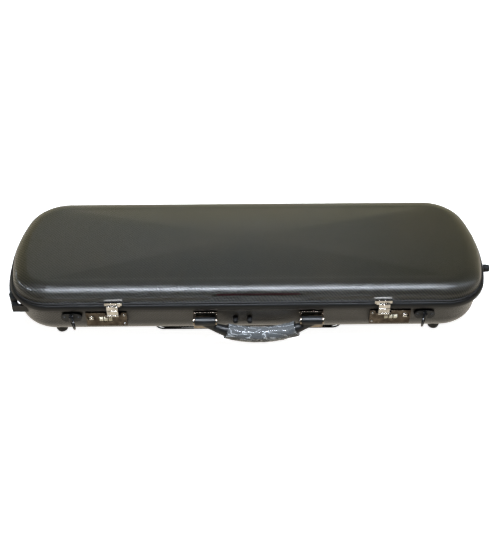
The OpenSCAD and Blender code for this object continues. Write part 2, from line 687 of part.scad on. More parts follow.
module side_posts() color("#171717") for (m = [-1, 1]) {
    difference() {
        translate([side_pivot_x - 4, m > 0 ? eye_y + eye_l + gap : -eye_y - eye_l - gap - 5, side_z - 7])
            cube([30, 5, 14]);
        base_form(-0.1);
    }
    translate([side_pivot_x, m > 0 ? eye_y : -eye_y - eye_l - gap - 0.5, side_z]) rotate([-90, 0, 0])
        cylinder(r = side_pin_r, h = eye_l + gap + 0.5);
}

// ---- lid interior ----
liner_o = -lid_inset - lid_draft - wall - 3;
liner_top = dome_z - wall - 1;
liner_t = 6;
module lid_liner() color("#4a1420") difference() {
    intersection() {
        linear_extrude_from(lid_z + 1, liner_top) outline_area(liner_o);
        lid_form(wall + gap);
    }
    linear_extrude_from(lid_z, liner_top - liner_t) outline_area(liner_o - 26);
}
rail_z = liner_top - liner_t;
module bow_rails() color("#6a4a30") for (x = [-250, 230])
    translate([x, -80, rail_z - 5]) cube([24, 160, 5]);
clip_x = 242;
clip_ys = [-45, 45];
clip_pin_r = 2;
module bow_clip(i) color("#a98657") difference() {
    translate([clip_x, clip_ys[i], rail_z - 5 - gap - 4]) {
        cylinder(r = 5, h = 4);
        translate([-5, -3, 0]) cube([10, 26, 4]);
    }
    translate([clip_x, clip_ys[i], rail_z - 20]) cylinder(r = clip_pin_r + run, h = 20);
}
module bow_clip_front() bow_clip(0);
module bow_clip_back() bow_clip(1);
module bow_sleeves() color("#2b1016") {
    for (y = clip_ys) translate([-238, y - 14, rail_z - 5 - 9]) difference() {
        translate([-12, 0, 0]) cube([24, 28, 9]);
        translate([-9, 2.5, 2]) cube([30, 23, 5]);
    }
    for (y = clip_ys) translate([clip_x, y, rail_z - 5 - gap - 4 - 1.4]) {
        cylinder(r = clip_pin_r, h = 5.4 + gap);
        translate([0, 0, -0.4]) cylinder(r = 3.4, h = 1.4);
    }
}

base_shell();
base_rim();
rim_seal();
base_insert();
neck_cradle();
neck_strap();
accessory_tray();
string_tube();
hygrometer();
back_cushion();
base_feet();
spine_feet();
end_feet();
base_hinge_leaves();
hinge_pins();
handle_brackets();
handle_pins();
handle_buffers();
ring_plates();
lock_body_left();
lock_body_right();
dial_axles();
hasp_pins();
latch_rivets();
side_posts();
tray_lid_pin();
lid_shell();
lid_edge();
lid_liner();
lid_hinge_leaves();
catch_left();
catch_right();
bow_rails();
bow_sleeves();
bow_clip_front();
bow_clip_back();
tray_lid();
tray_tab();
hasp_left();
hasp_right();
slider_left();
slider_right();
dial(-1, 1);  // dial_left_1
dial(-1, 2);  // dial_left_2
dial(-1, 3);  // dial_left_3
dial(1, 1);  // dial_right_1
dial(1, 2);  // dial_right_2
dial(1, 3);  // dial_right_3
handle_frame();
handle_grip();
handle_film();
strap_ring_left();
strap_ring_right();
side_strap();
side_strap_ends();
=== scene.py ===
"""Looks of an oblong hard violin case, from its gloss shells to its velvet lining."""

import logging
import math
from collections.abc import Callable
from dataclasses import dataclass
from enum import Enum

import bmesh
import bpy
from mathutils import Matrix, Vector, noise


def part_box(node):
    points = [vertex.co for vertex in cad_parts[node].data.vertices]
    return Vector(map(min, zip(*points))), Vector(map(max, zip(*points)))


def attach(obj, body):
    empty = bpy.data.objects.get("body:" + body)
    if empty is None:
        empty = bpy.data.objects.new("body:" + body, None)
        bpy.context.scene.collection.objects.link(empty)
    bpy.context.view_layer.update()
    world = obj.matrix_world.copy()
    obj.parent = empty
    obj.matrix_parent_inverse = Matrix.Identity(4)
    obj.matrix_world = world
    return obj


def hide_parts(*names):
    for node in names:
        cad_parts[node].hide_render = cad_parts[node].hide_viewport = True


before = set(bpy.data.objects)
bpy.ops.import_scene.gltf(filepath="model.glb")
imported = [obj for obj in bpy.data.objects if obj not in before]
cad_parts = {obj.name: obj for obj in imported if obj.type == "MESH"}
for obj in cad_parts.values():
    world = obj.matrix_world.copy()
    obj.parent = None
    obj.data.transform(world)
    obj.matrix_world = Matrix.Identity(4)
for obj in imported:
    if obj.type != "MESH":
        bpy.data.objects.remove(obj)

LOG = logging.getLogger("violin_case")
MM = 0.001
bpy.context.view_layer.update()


# ---------------------------------------------------------------- materials

class Weave(Enum):
    """How threads cross in a woven surface."""

    TWILL = 4
    PLAIN = 2


def linear(code: str) -> tuple[float, float, float, float]:
    """Turns an sRGB hex colour into linear RGBA.

    Args:
        code: A colour such as "#3a3a30".

    Returns:
        Linear red, green, blue and an alpha of 1.
    """
    parts = [int(code[i:i + 2], 16) / 255 for i in (1, 3, 5)]
    return (*[p / 12.92 if p <= 0.04045 else ((p + 0.055) / 1.055) ** 2.4 for p in parts], 1.0)


def add(tree: bpy.types.NodeTree, kind: str, settings: dict | None = None,
        links: dict | None = None) -> bpy.types.Node:
    """Adds one shader node.

    Args:
        tree: The node tree.
        kind: The node's type name, without "ShaderNode".
        settings: Values by input name or number, or by property name.
        links: Output sockets by input name or number.

    Returns:
        The new node.
    """
    made = tree.nodes.new("ShaderNode" + kind)
    for key, value in (settings or {}).items():
        if isinstance(key, str) and hasattr(made, key) and key not in made.inputs:
            setattr(made, key, value)
        else:
            made.inputs[key].default_value = value
    for key, socket in (links or {}).items():
        tree.links.new(socket, made.inputs[key])
    return made


def maths(tree: bpy.types.NodeTree, operation: str, *values: object) -> bpy.types.NodeSocket:
    """Adds a Math node and returns its output.

    Args:
        tree: The node tree.
        operation: The Math node's operation.
        values: A number or a socket for each input.

    Returns:
        The node's output socket.
    """
    settings = {i: v for i, v in enumerate(values) if isinstance(v, (int, float))}
    links = {i: v for i, v in enumerate(values) if not isinstance(v, (int, float))}
    return add(tree, "Math", {"operation": operation, **settings}, links).outputs[0]


def blank(name: str) -> tuple[bpy.types.Material, bpy.types.NodeTree, bpy.types.Node]:
    """Makes a material that holds only a Principled shader.

    Args:
        name: The material's name.

    Returns:
        The material, its node tree and its shader.
    """
    material = bpy.data.materials.new(name)
    material.use_nodes = True
    tree = material.node_tree
    return material, tree, tree.nodes["Principled BSDF"]


def ramp(tree: bpy.types.NodeTree, factor: bpy.types.NodeSocket, low: str, high: str,
         start: float = 0.3, end: float = 0.7) -> bpy.types.NodeSocket:
    """Blends two colours along a factor.

    Args:
        tree: The node tree.
        factor: The factor's socket.
        low: Hex colour at the start.
        high: Hex colour at the end.
        start: Factor where the blend starts.
        end: Factor where it ends.

    Returns:
        The blended colour's socket.
    """
    made = add(tree, "ValToRGB", {}, {0: factor})
    first, last = made.color_ramp.elements
    first.position, first.color = start, linear(low)
    last.position, last.color = end, linear(high)
    return made.outputs[0]


def noise_of(tree: bpy.types.NodeTree, place: bpy.types.NodeSocket, size_mm: float,
             detail: float, distortion: float = 0.0) -> bpy.types.NodeSocket:
    """Adds a noise texture whose features have a real size.

    Args:
        tree: The node tree.
        place: The coordinates' socket.
        size_mm: Size of a feature in millimetres.
        detail: Number of finer layers.
        distortion: How far the pattern is pulled about.

    Returns:
        The noise's factor socket.
    """
    settings = {"Scale": 1 / (size_mm * MM), "Detail": detail, "Distortion": distortion}
    return add(tree, "TexNoise", settings, {"Vector": place}).outputs[0]


def emboss(tree: bpy.types.NodeTree, shader: bpy.types.Node, height: bpy.types.NodeSocket,
           strength: float, distance: float, into: str = "Normal") -> None:
    """Raises the surface by a height.

    Args:
        tree: The node tree.
        shader: The Principled shader.
        height: The height's socket.
        strength: How much of the bump shows.
        distance: Height of a full bump, in metres.
        into: The shader's normal input.
    """
    made = add(tree, "Bump", {"Strength": strength, "Distance": distance}, {"Height": height})
    tree.links.new(made.outputs[0], shader.inputs[into])


def wear(tree: bpy.types.NodeTree, shader: bpy.types.Node, factor: bpy.types.NodeSocket,
         low: float, high: float) -> None:
    """Varies the roughness along a factor.

    Args:
        tree: The node tree.
        shader: The Principled shader.
        factor: The factor's socket.
        low: Roughness where the factor is 0.
        high: Roughness where it is 1.
    """
    made = add(tree, "MapRange", {"To Min": low, "To Max": high}, {0: factor})
    tree.links.new(made.outputs[0], shader.inputs["Roughness"])


def preset(shader: bpy.types.Node, values: dict[str, float | tuple]) -> None:
    """Sets plain inputs of a shader.

    Args:
        shader: The Principled shader.
        values: A value for each input's name.
    """
    for name, value in values.items():
        shader.inputs[name].default_value = value


@dataclass(frozen=True)
class Moulded:
    """Injection-moulded plastic or rubber: fine grain, faint mottling and soft gloss."""

    name: str
    dark: str
    light: str
    roughness: float = 0.45
    grain_mm: float = 0.6
    bump: float = 0.15
    coat: float = 0.0
    mottle_mm: float = 18.0
    grain_height: float = 0.15 * MM

    def build(self) -> bpy.types.Material:
        """Builds the node material.

        Returns:
            The material.
        """
        material, tree, shader = blank(self.name)
        place = add(tree, "TexCoord").outputs["Object"]
        grain = noise_of(tree, place, self.grain_mm, 3.0)
        mottle = noise_of(tree, place, self.mottle_mm, 4.0)
        tree.links.new(ramp(tree, mottle, self.dark, self.light), shader.inputs["Base Color"])
        wear(tree, shader, mottle, self.roughness - 0.06, self.roughness + 0.08)
        emboss(tree, shader, grain, self.bump, self.grain_height)
        preset(shader, {"Coat Weight": self.coat, "Coat Roughness": 0.12})
        return material


@dataclass(frozen=True)
class PlatedMetal:
    """Polished plated steel: a bright base, brushing along one way and thumb smears."""

    name: str
    dark: str
    light: str
    roughness: float = 0.14
    brush_mm: float = 0.25
    smear_mm: float = 9.0
    brush_height: float = 0.05 * MM

    def build(self) -> bpy.types.Material:
        """Builds the node material.

        Returns:
            The material.
        """
        material, tree, shader = blank(self.name)
        place = add(tree, "TexCoord").outputs["Object"]
        along = add(tree, "Mapping", {"Scale": (0.06, 1.0, 1.0)}, {"Vector": place}).outputs[0]
        brush = noise_of(tree, along, self.brush_mm, 2.0)
        smear = noise_of(tree, place, self.smear_mm, 3.0)
        tree.links.new(ramp(tree, smear, self.dark, self.light), shader.inputs["Base Color"])
        wear(tree, shader, smear, self.roughness - 0.05, self.roughness + 0.12)
        emboss(tree, shader, brush, 0.08, self.brush_height)
        preset(shader, {"Metallic": 1.0})
        return material


@dataclass(frozen=True)
class WovenSurface:
    """Threads that cross over and under each other, read from the piece's UV map in metres."""

    name: str
    warp: str
    weft: str
    thread_mm: float
    weave: Weave
    roughness: float = 0.5
    coat: float = 0.0
    coat_roughness: float = 0.1
    bump: float = 0.4
    sheen: float = 0.0
    drift_low: str = "#ffffff"
    drift_high: str = "#ffffff"
    drift_mm: float = 160.0
    thread_rise: float = 0.3
    coat_rise: float = 0.09

    def build(self) -> bpy.types.Material:
        """Builds the node material.

        The height of a thread is a sine over its width; which thread lies on top steps by one
        thread from row to row, which draws the diagonal of a twill.

        Returns:
            The material.
        """
        material, tree, shader = blank(self.name)
        uv = add(tree, "UVMap", {"uv_map": "cloth"}).outputs[0]
        split = add(tree, "SeparateXYZ", {}, {0: uv})
        thread = self.thread_mm * MM
        across = maths(tree, "DIVIDE", split.outputs[0], thread)
        down = maths(tree, "DIVIDE", split.outputs[1], thread)
        step = maths(tree, "ADD", maths(tree, "FLOOR", across), maths(tree, "FLOOR", down))
        turn = maths(tree, "FLOORED_MODULO", step, float(self.weave.value))
        on_top = maths(tree, "LESS_THAN", turn, self.weave.value / 2 - 0.5)
        warp_height, weft_height = (
            maths(tree, "SINE", maths(tree, "MULTIPLY", maths(tree, "FRACT", way), math.pi))
            for way in (across, down))
        height = add(tree, "Mix", {}, {0: on_top, 2: weft_height, 3: warp_height}).outputs[0]
        dyes = {"data_type": "RGBA", 6: linear(self.weft), 7: linear(self.warp)}
        threads = add(tree, "Mix", dyes, {0: on_top}).outputs[2]
        place = add(tree, "TexCoord").outputs["Object"]
        drift = noise_of(tree, place, self.drift_mm, 2.0)
        tint = ramp(tree, drift, self.drift_low, self.drift_high)
        colour = add(tree, "Mix", {"data_type": "RGBA", "blend_type": "MULTIPLY", 0: 1.0},
                     {6: threads, 7: tint}).outputs[2]
        tree.links.new(colour, shader.inputs["Base Color"])
        wear(tree, shader, height, self.roughness + 0.12, self.roughness)
        emboss(tree, shader, height, self.bump, thread * self.thread_rise)
        if self.coat:
            # the clear coat follows the threads more gently than the print below it
            emboss(tree, shader, height, 0.5, thread * self.coat_rise, "Coat Normal")
        preset(shader, {"Coat Weight": self.coat, "Coat Roughness": self.coat_roughness,
                        "Sheen Weight": self.sheen})
        return material


@dataclass(frozen=True)
class ShrinkFilm:
    """Clear polythene wrap pulled round the grip: milky, creased, glossy, with painted highlights
    on its ridges.
    """

    name: str = "polythene_wrap"
    crease_mm: float = 16.0
    crease_height: float = 1.2 * MM

    def build(self) -> bpy.types.Material:
        """Builds the node material.

        Returns:
            The material.
        """
        material, tree, shader = blank(self.name)
        place = add(tree, "TexCoord").outputs["Object"]
        squeezed = add(tree, "Mapping", {"Scale": (0.45, 1.0, 1.3)}, {"Vector": place}).outputs[0]
        crease = noise_of(tree, squeezed, self.crease_mm, 4.0, 1.2)
        fold = maths(tree, "ABSOLUTE", maths(tree, "SUBTRACT", crease, 0.5))
        ridge = maths(tree, "SUBTRACT", 1.0, maths(tree, "MULTIPLY", fold, 4.0))
        # painted highlight: the sharpened crease ridges turn pale grey and more opaque, standing in
        # for the film's glints
        sharp = maths(tree, "POWER", ridge, 6.0)
        colour = ramp(tree, sharp, "#707374", "#cfd3d5", 0.5, 1.0)
        tree.links.new(colour, shader.inputs["Base Color"])
        alpha = add(tree, "MapRange", {"To Min": 0.5, "To Max": 0.92}, {0: sharp})
        tree.links.new(alpha.outputs[0], shader.inputs["Alpha"])
        emboss(tree, shader, crease, 0.5, self.crease_height)
        preset(shader, {"Roughness": 0.16, "Coat Weight": 0.6, "Coat Roughness": 0.05})
        return material


@dataclass(frozen=True)
class Plush:
    """Short-pile velvet lining: soft sheen and a brushed nap."""

    name: str
    dark: str
    light: str
    nap_mm: float = 26.0
    pile_mm: float = 0.9
    pile_height: float = 0.5 * MM

    def build(self) -> bpy.types.Material:
        """Builds the node material.

        Returns:
            The material.
        """
        material, tree, shader = blank(self.name)
        place = add(tree, "TexCoord").outputs["Object"]
        nap = noise_of(tree, place, self.nap_mm, 3.0, 0.8)
        pile = noise_of(tree, place, self.pile_mm, 2.0)
        tree.links.new(ramp(tree, nap, self.dark, self.light), shader.inputs["Base Color"])
        emboss(tree, shader, pile, 0.6, self.pile_height)
        preset(shader, {"Roughness": 0.9, "Sheen Weight": 0.6})
        return material


@dataclass(frozen=True)
class Leatherette:
    """Embossed vinyl on the padded grip: small pebbles and a waxy gloss."""

    name: str = "leatherette"
    pebble_mm: float = 1.6
    pebble_height: float = 0.4 * MM
    worn_mm: float = 14.0

    def build(self) -> bpy.types.Material:
        """Builds the node material.

        Returns:
            The material.
        """
        material, tree, shader = blank(self.name)
        place = add(tree, "TexCoord").outputs["Object"]
        scale = 1 / (self.pebble_mm * MM)
        pebble = add(tree, "TexVoronoi", {"feature": "SMOOTH_F1", "Scale": scale},
                     {"Vector": place}).outputs[0]
        worn = noise_of(tree, place, self.worn_mm, 3.0)
        tree.links.new(ramp(tree, worn, "#0c0c0e", "#1d1e21"), shader.inputs["Base Color"])
        emboss(tree, shader, pebble, 0.5, self.pebble_height)
        preset(shader, {"Roughness": 0.42})
        return material


@dataclass(frozen=True)
class VarnishedWood:
    """Varnished hardwood: long grain and a clear top coat."""

    name: str = "varnished_beech"
    grain_mm: float = 1.5

    def build(self) -> bpy.types.Material:
        """Builds the node material.

        Returns:
            The material.
        """
        material, tree, shader = blank(self.name)
        place = add(tree, "TexCoord").outputs["Object"]
        drawn = add(tree, "Mapping", {"Scale": (1.0, 0.12, 1.0)}, {"Vector": place}).outputs[0]
        grain = noise_of(tree, drawn, self.grain_mm, 4.0, 0.6)
        tree.links.new(ramp(tree, grain, "#5a3418", "#a9743d"), shader.inputs["Base Color"])
        preset(shader, {"Roughness": 0.38, "Coat Weight": 0.5})
        return material


class Finishes:
    """Every finish of the case, built once."""

    def __init__(self) -> None:
        """Builds the materials."""
        # printed twill film under clear polycarbonate: dark olive threads below a hard gloss
        self.shell = WovenSurface("woven_look_polycarbonate", "#2d2c23", "#000000", 1.4,
                                  Weave.TWILL, roughness=0.3, coat=0.75, coat_roughness=0.19,
                                  bump=1.0, drift_low="#b3bdb4", drift_high="#fff0d2").build()
        # extruded ABS band: smooth and satin
        self.rim = Moulded("extruded_abs_band", "#010202", "#040505", 0.5, 1.2, 0.05).build()
        self.rubber = Moulded("moulded_rubber", "#080808", "#131313", 0.68, 0.5, 0.3).build()
        self.plastic = Moulded("moulded_nylon", "#0c0d0e", "#191b1c", 0.4, 0.5, 0.2).build()
        self.enamel = Moulded("black_enamelled_steel", "#0a0a0b", "#17181a", 0.25, 1.0, 0.06,
                              coat=0.6).build()
        self.ivory = Moulded("ivory_dial_plastic", "#fbf3d2", "#fffbea", 0.32, 0.4, 0.05).build()
        self.ink = Moulded("black_dial_ink", "#4a4234", "#5a5142", 0.6, 0.4, 0.0).build()
        self.chrome = PlatedMetal("chromed_steel", "#bab6ae", "#e6e2da", 0.16).build()
        self.lock = PlatedMetal("nickelled_lock_plate", "#3a332c", "#6a6156", 0.22).build()
        self.bracket = PlatedMetal("polished_handle_bracket", "#7d7267", "#b5a999",
                                   0.18).build()
        self.steel = PlatedMetal("bright_steel_pin", "#8d8d8d", "#b9b9b9", 0.2).build()
        self.brass = PlatedMetal("lacquered_brass", "#9a7a38", "#c9a659", 0.2).build()
        self.webbing = WovenSurface("nylon_webbing", "#17181a", "#0b0c0d", 1.3, Weave.PLAIN, 0.68,
                                    bump=0.8, sheen=0.25).build()
        self.cushion = WovenSurface("cordura_cushion", "#1b1c1e", "#0f1011", 1.1, Weave.PLAIN, 0.75,
                                    bump=0.7, sheen=0.2).build()
        self.film = ShrinkFilm().build()
        self.plush = Plush("wine_velvet", "#36101a", "#4a1320").build()
        self.leatherette = Leatherette().build()
        self.wood = VarnishedWood().build()
        # vacuum-formed inner face of the shell
        self.inner = Moulded("shell_inner_face", "#101112", "#1a1b1c", 0.6, 0.8, 0.2).build()


# ---------------------------------------------------------------- mesh helpers

def finish_piece(name: str, mesh: bmesh.types.BMesh, material: bpy.types.Material,
                 smooth_deg: float = 40.0) -> bpy.types.Object:
    """Turns a bmesh into a scene object with outward faces and smooth shading.

    Args:
        name: The piece's name.
        mesh: The bmesh, which is freed.
        material: The piece's material.
        smooth_deg: Edges sharper than this many degrees stay sharp.

    Returns:
        The object.
    """
    for face in mesh.faces:
        face.smooth = True
    for edge in mesh.edges:
        if len(edge.link_faces) == 2:
            edge.smooth = edge.calc_face_angle(0.0) < math.radians(smooth_deg)
    data = bpy.data.meshes.new(name)
    mesh.to_mesh(data)
    mesh.free()
    data.materials.append(material)
    piece = bpy.data.objects.new(name, data)
    bpy.context.scene.collection.objects.link(piece)
    return piece


def tidy(mesh: bmesh.types.BMesh, gap: float = 0.01 * MM) -> None:
    """Merges doubled vertices and turns every face outwards.

    Args:
        mesh: The bmesh to clean.
        gap: Distance under which two vertices are one.
    """
    bmesh.ops.remove_doubles(mesh, verts=mesh.verts, dist=gap)
    bmesh.ops.recalc_face_normals(mesh, faces=mesh.faces)


def place_on(piece: bpy.types.Object, body: str, slot: str, *nodes: str) -> bpy.types.Object:
    """Puts a piece on its body and lets it stand for CAD nodes.

    Args:
        piece: The new piece.
        body: The CAD body that it moves with.
        slot: The record's material slot; not used.
        nodes: The CAD nodes that it replaces.

    Returns:
        The same piece.
    """
    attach(piece, body)
    if nodes:
        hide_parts(*nodes)
    LOG.info("%s rides on %s", piece.name, body)
    return piece


def modifier(piece: bpy.types.Object, kind: str, **settings: object) -> None:
    """Adds a modifier to a piece.

    Args:
        piece: The piece.
        kind: The modifier's type.
        settings: The modifier's properties.
    """
    made = piece.modifiers.new(kind.lower(), kind)
    for key, value in settings.items():
        setattr(made, key, value)


def apply_modifiers(piece: bpy.types.Object) -> None:
    """Bakes a piece's modifiers into its mesh.

    Args:
        piece: The piece.
    """
    seen = bpy.context.evaluated_depsgraph_get()
    data = bpy.data.meshes.new_from_object(piece.evaluated_get(seen))
    piece.modifiers.clear()
    piece.data = data


def box_cloth_uv(piece: bpy.types.Object) -> None:
    """Gives a piece a UV map in metres, flat along each face's main direction.

    Args:
        piece: The piece.
    """
    layer = piece.data.uv_layers.get("cloth") or piece.data.uv_layers.new(name="cloth")
    for poly in piece.data.polygons:
        facing = [abs(c) for c in poly.normal]
        axis = facing.index(max(facing))
        keep = [k for k in range(3) if k != axis]
        for loop in poly.loop_indices:
            point = piece.data.vertices[piece.data.loops[loop].vertex_index].co
            layer.data[loop].uv = (point[keep[0]], point[keep[1]])


def copy_of(node: str) -> bmesh.types.BMesh:
    """A merged bmesh copy of a CAD node's mesh.

    Args:
        node: The CAD node's name.

    Returns:
        The copy, with flat areas joined into single faces.
    """
    mesh = bmesh.new()
    mesh.from_mesh(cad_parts[node].data)
    bmesh.ops.remove_doubles(mesh, verts=mesh.verts, dist=0.002 * MM)
    bmesh.ops.dissolve_limit(mesh, angle_limit=math.radians(0.6), verts=mesh.verts,
                             edges=mesh.edges)
    return mesh


def broken_edges(node: str, name: str, body: str, slot: str, material: bpy.types.Material,
                 width_mm: float = 0.35) -> bpy.types.Object:
    """A hard part with its sharp edges broken, standing for its CAD node.

    Args:
        node: The CAD node.
        name: The new piece's name.
        body: The body it moves with.
        slot: The record's material slot; not used.
        material: Its material.
        width_mm: Width of the broken edge.

    Returns:
        The piece.
    """
    piece = finish_piece(name, copy_of(node), material, 30.0)
    modifier(piece, "BEVEL", width=width_mm * MM, segments=2, limit_method="ANGLE",
             angle_limit=math.radians(35), use_clamp_overlap=True, harden_normals=False)
    apply_modifiers(piece)
    box_cloth_uv(piece)
    return place_on(piece, body, slot, node)


def softened(node: str, name: str, body: str, slot: str, material: bpy.types.Material,
             voxel_mm: float, rounds: int) -> bpy.types.Object:
    """A lined foam part with its edges rounded by remeshing, standing for its CAD node.

    Args:
        node: The CAD node.
        name: The new piece's name.
        body: The body it moves with.
        slot: The record's material slot; not used.
        material: Its material.
        voxel_mm: Size of the remesh.
        rounds: How many times the surface is smoothed.

    Returns:
        The piece.
    """
    piece = finish_piece(name, copy_of(node), material, 180.0)
    modifier(piece, "REMESH", mode="VOXEL", voxel_size=voxel_mm * MM, use_smooth_shade=True)
    modifier(piece, "SMOOTH", factor=0.5, iterations=rounds)
    apply_modifiers(piece)
    return place_on(piece, body, slot, node)


def extruded(mesh: bmesh.types.BMesh, row: list[bmesh.types.BMEdge]) -> tuple[
        list[bmesh.types.BMEdge], list[bmesh.types.BMVert]]:
    """Extrudes a row of edges in place.

    Args:
        mesh: The bmesh.
        row: The edges to extrude.

    Returns:
        The new row and its vertices, which are still where the old row's are.
    """
    grown = bmesh.ops.extrude_edge_only(mesh, edges=row)["geom"]
    moved = [g for g in grown if isinstance(g, bmesh.types.BMVert)]
    edges = [g for g in grown if isinstance(g, bmesh.types.BMEdge)]
    return [e for e in edges if all(v in moved for v in e.verts)], moved


def spun(mesh: bmesh.types.BMesh, geom: list, centre: tuple | Vector, angle: float, steps: int,
         axis: tuple[float, float, float] = (0, 0, 1)) -> list[bmesh.types.BMEdge]:
    """Spins geometry round an axis, leaving a surface behind it.

    Args:
        mesh: The bmesh.
        geom: The vertices, edges and faces to spin.
        centre: A point on the axis.
        angle: The turn in radians.
        steps: Number of steps.
        axis: The axis' direction.

    Returns:
        The edges at the spin's end.
    """
    made = bmesh.ops.spin(mesh, geom=geom, cent=centre, axis=axis, dvec=(0, 0, 0), angle=angle,
                          steps=steps, use_merge=False, use_duplicate=False)
    return [g for g in made["geom_last"] if isinstance(g, bmesh.types.BMEdge)]


# ---------------------------------------------------------------- outline and sweeps

@dataclass
class Outline:
    """The case's outline: four corner arcs, two bowed ends and two straights, in metres."""

    half_l: float
    half_w: float
    corner_r: float = 74 * MM
    end_r: float = 290 * MM
    corner_steps: int = 22
    end_steps: int = 22
    side_steps: int = 90

    def __post_init__(self) -> None:
        """Works out the arcs' centres."""
        self.end_cx = self.half_l - self.end_r
        self.corner_cy = self.half_w - self.corner_r
        reach = self.end_r - self.corner_r
        self.corner_cx = self.end_cx + math.sqrt(reach ** 2 - self.corner_cy ** 2)
        self.end_angle = math.asin(self.corner_cy / reach)

    def facing(self, x: float, y: float) -> Vector:
        """The outline's outward direction next to a point.

        Args:
            x: The point's place along the case.
            y: The point's place across it.

        Returns:
            A unit vector in the plane.
        """
        if abs(x) <= self.corner_cx + 1e-6:
            return Vector((0, math.copysign(1, y)))
        side = math.copysign(1, x)
        from_end = Vector((x - side * self.end_cx, y))
        if abs(math.atan2(y, side * from_end.x)) <= self.end_angle + 1e-6:
            return from_end.normalized()
        from_corner = Vector((x - side * self.corner_cx, y - math.copysign(self.corner_cy, y)))
        return from_corner.normalized()

    def sweep(self, section: list[tuple[float, float]], closed: bool) -> bmesh.types.BMesh:
        """Sweeps a section once round the outline by spins and extrusions.

        Args:
            section: Points as outward offset and height, in metres.
            closed: Whether the section is a closed loop.

        Returns:
            The swept bmesh, whose "unroll" layer holds how far a point lies down the section.
        """
        mesh = bmesh.new()
        unroll = mesh.verts.layers.float.new("unroll")
        turn = Matrix.Rotation(-self.end_angle, 4, "Z")
        verts, run, last = [], 0.0, section[0]
        for offset, height in section:
            run += math.hypot(offset - last[0], height - last[1])
            last = (offset, height)
            start = turn @ Vector((self.end_r + offset, 0, height))
            verts.append(mesh.verts.new(start + Vector((self.end_cx, 0, 0))))
            verts[-1][unroll] = run + section[0][0] - offset
        pairs = list(zip(verts, verts[1:] + verts[:1] if closed else verts[1:]))
        row = [mesh.edges.new(pair) for pair in pairs]
        corner_angle = math.pi / 2 - self.end_angle
        legs = []
        for side in (1, -1):
            x, y = side * self.corner_cx, side * self.corner_cy
            legs += [(side * self.end_cx, 0, 2 * self.end_angle, self.end_steps),
                     (x, y, corner_angle, self.corner_steps),
                     (-2 * x, None, 0, self.side_steps),
                     (-x, y, corner_angle, self.corner_steps)]
        for x, y, angle, steps in legs:
            if y is None:
                for _ in range(steps):
                    row, moved = extruded(mesh, row)
                    bmesh.ops.translate(mesh, verts=moved, vec=(x / steps, 0, 0))
            else:
                ends = list({v for e in row for v in e.verts})
                row = spun(mesh, row + ends, (x, y, 0), angle, steps)
        tidy(mesh)
        return mesh

    def cloth_uv(self, mesh: bmesh.types.BMesh) -> None:
        """Unrolls the swept walls outwards round the flat top into a UV map in metres.

        Args:
            mesh: A bmesh from sweep.
        """
        unroll = mesh.verts.layers.float["unroll"]
        layer = mesh.loops.layers.uv.new("cloth")
        for face in mesh.faces:
            for loop in face.loops:
                point = loop.vert.co
                loop[layer].uv = point.xy + self.facing(point.x, point.y) * loop.vert[unroll]


def quarter(cx: float, cz: float, rx: float, rz: float, a0: float, a1: float,
            steps: int) -> list[tuple[float, float]]:
    """Points of an elliptical arc of a section.

    Args:
        cx: Offset of the arc's centre.
        cz: Height of the arc's centre.
        rx: Radius across.
        rz: Radius up.
        a0: First angle in degrees.
        a1: Last angle in degrees.
        steps: Number of steps.

    Returns:
        The points, first and last included.
    """
    angles = [math.radians(a0 + (a1 - a0) * i / steps) for i in range(steps + 1)]
    return [(cx + rx * math.cos(a), cz + rz * math.sin(a)) for a in angles]


def blend(start: tuple[float, float], end: tuple[float, float],
          shares: tuple[float, ...]) -> list[tuple[float, float]]:
    """Points of a section on the straight line between two points.

    Args:
        start: The first point.
        end: The last point.
        shares: How far along the line each point lies.

    Returns:
        The points.
    """
    return [(start[0] + (end[0] - start[0]) * t, start[1] + (end[1] - start[1]) * t)
            for t in shares]


def edge_loop_at(mesh: bmesh.types.BMesh, height: float) -> list[bmesh.types.BMEdge]:
    """The open edges of a shell that lie at a height.

    Args:
        mesh: The shell.
        height: The height in metres.

    Returns:
        The edges.
    """
    return [e for e in mesh.edges
            if e.is_boundary and all(abs(v.co.z - height) < 0.02 * MM for v in e.verts)]


# ---------------------------------------------------------------- sub-assemblies

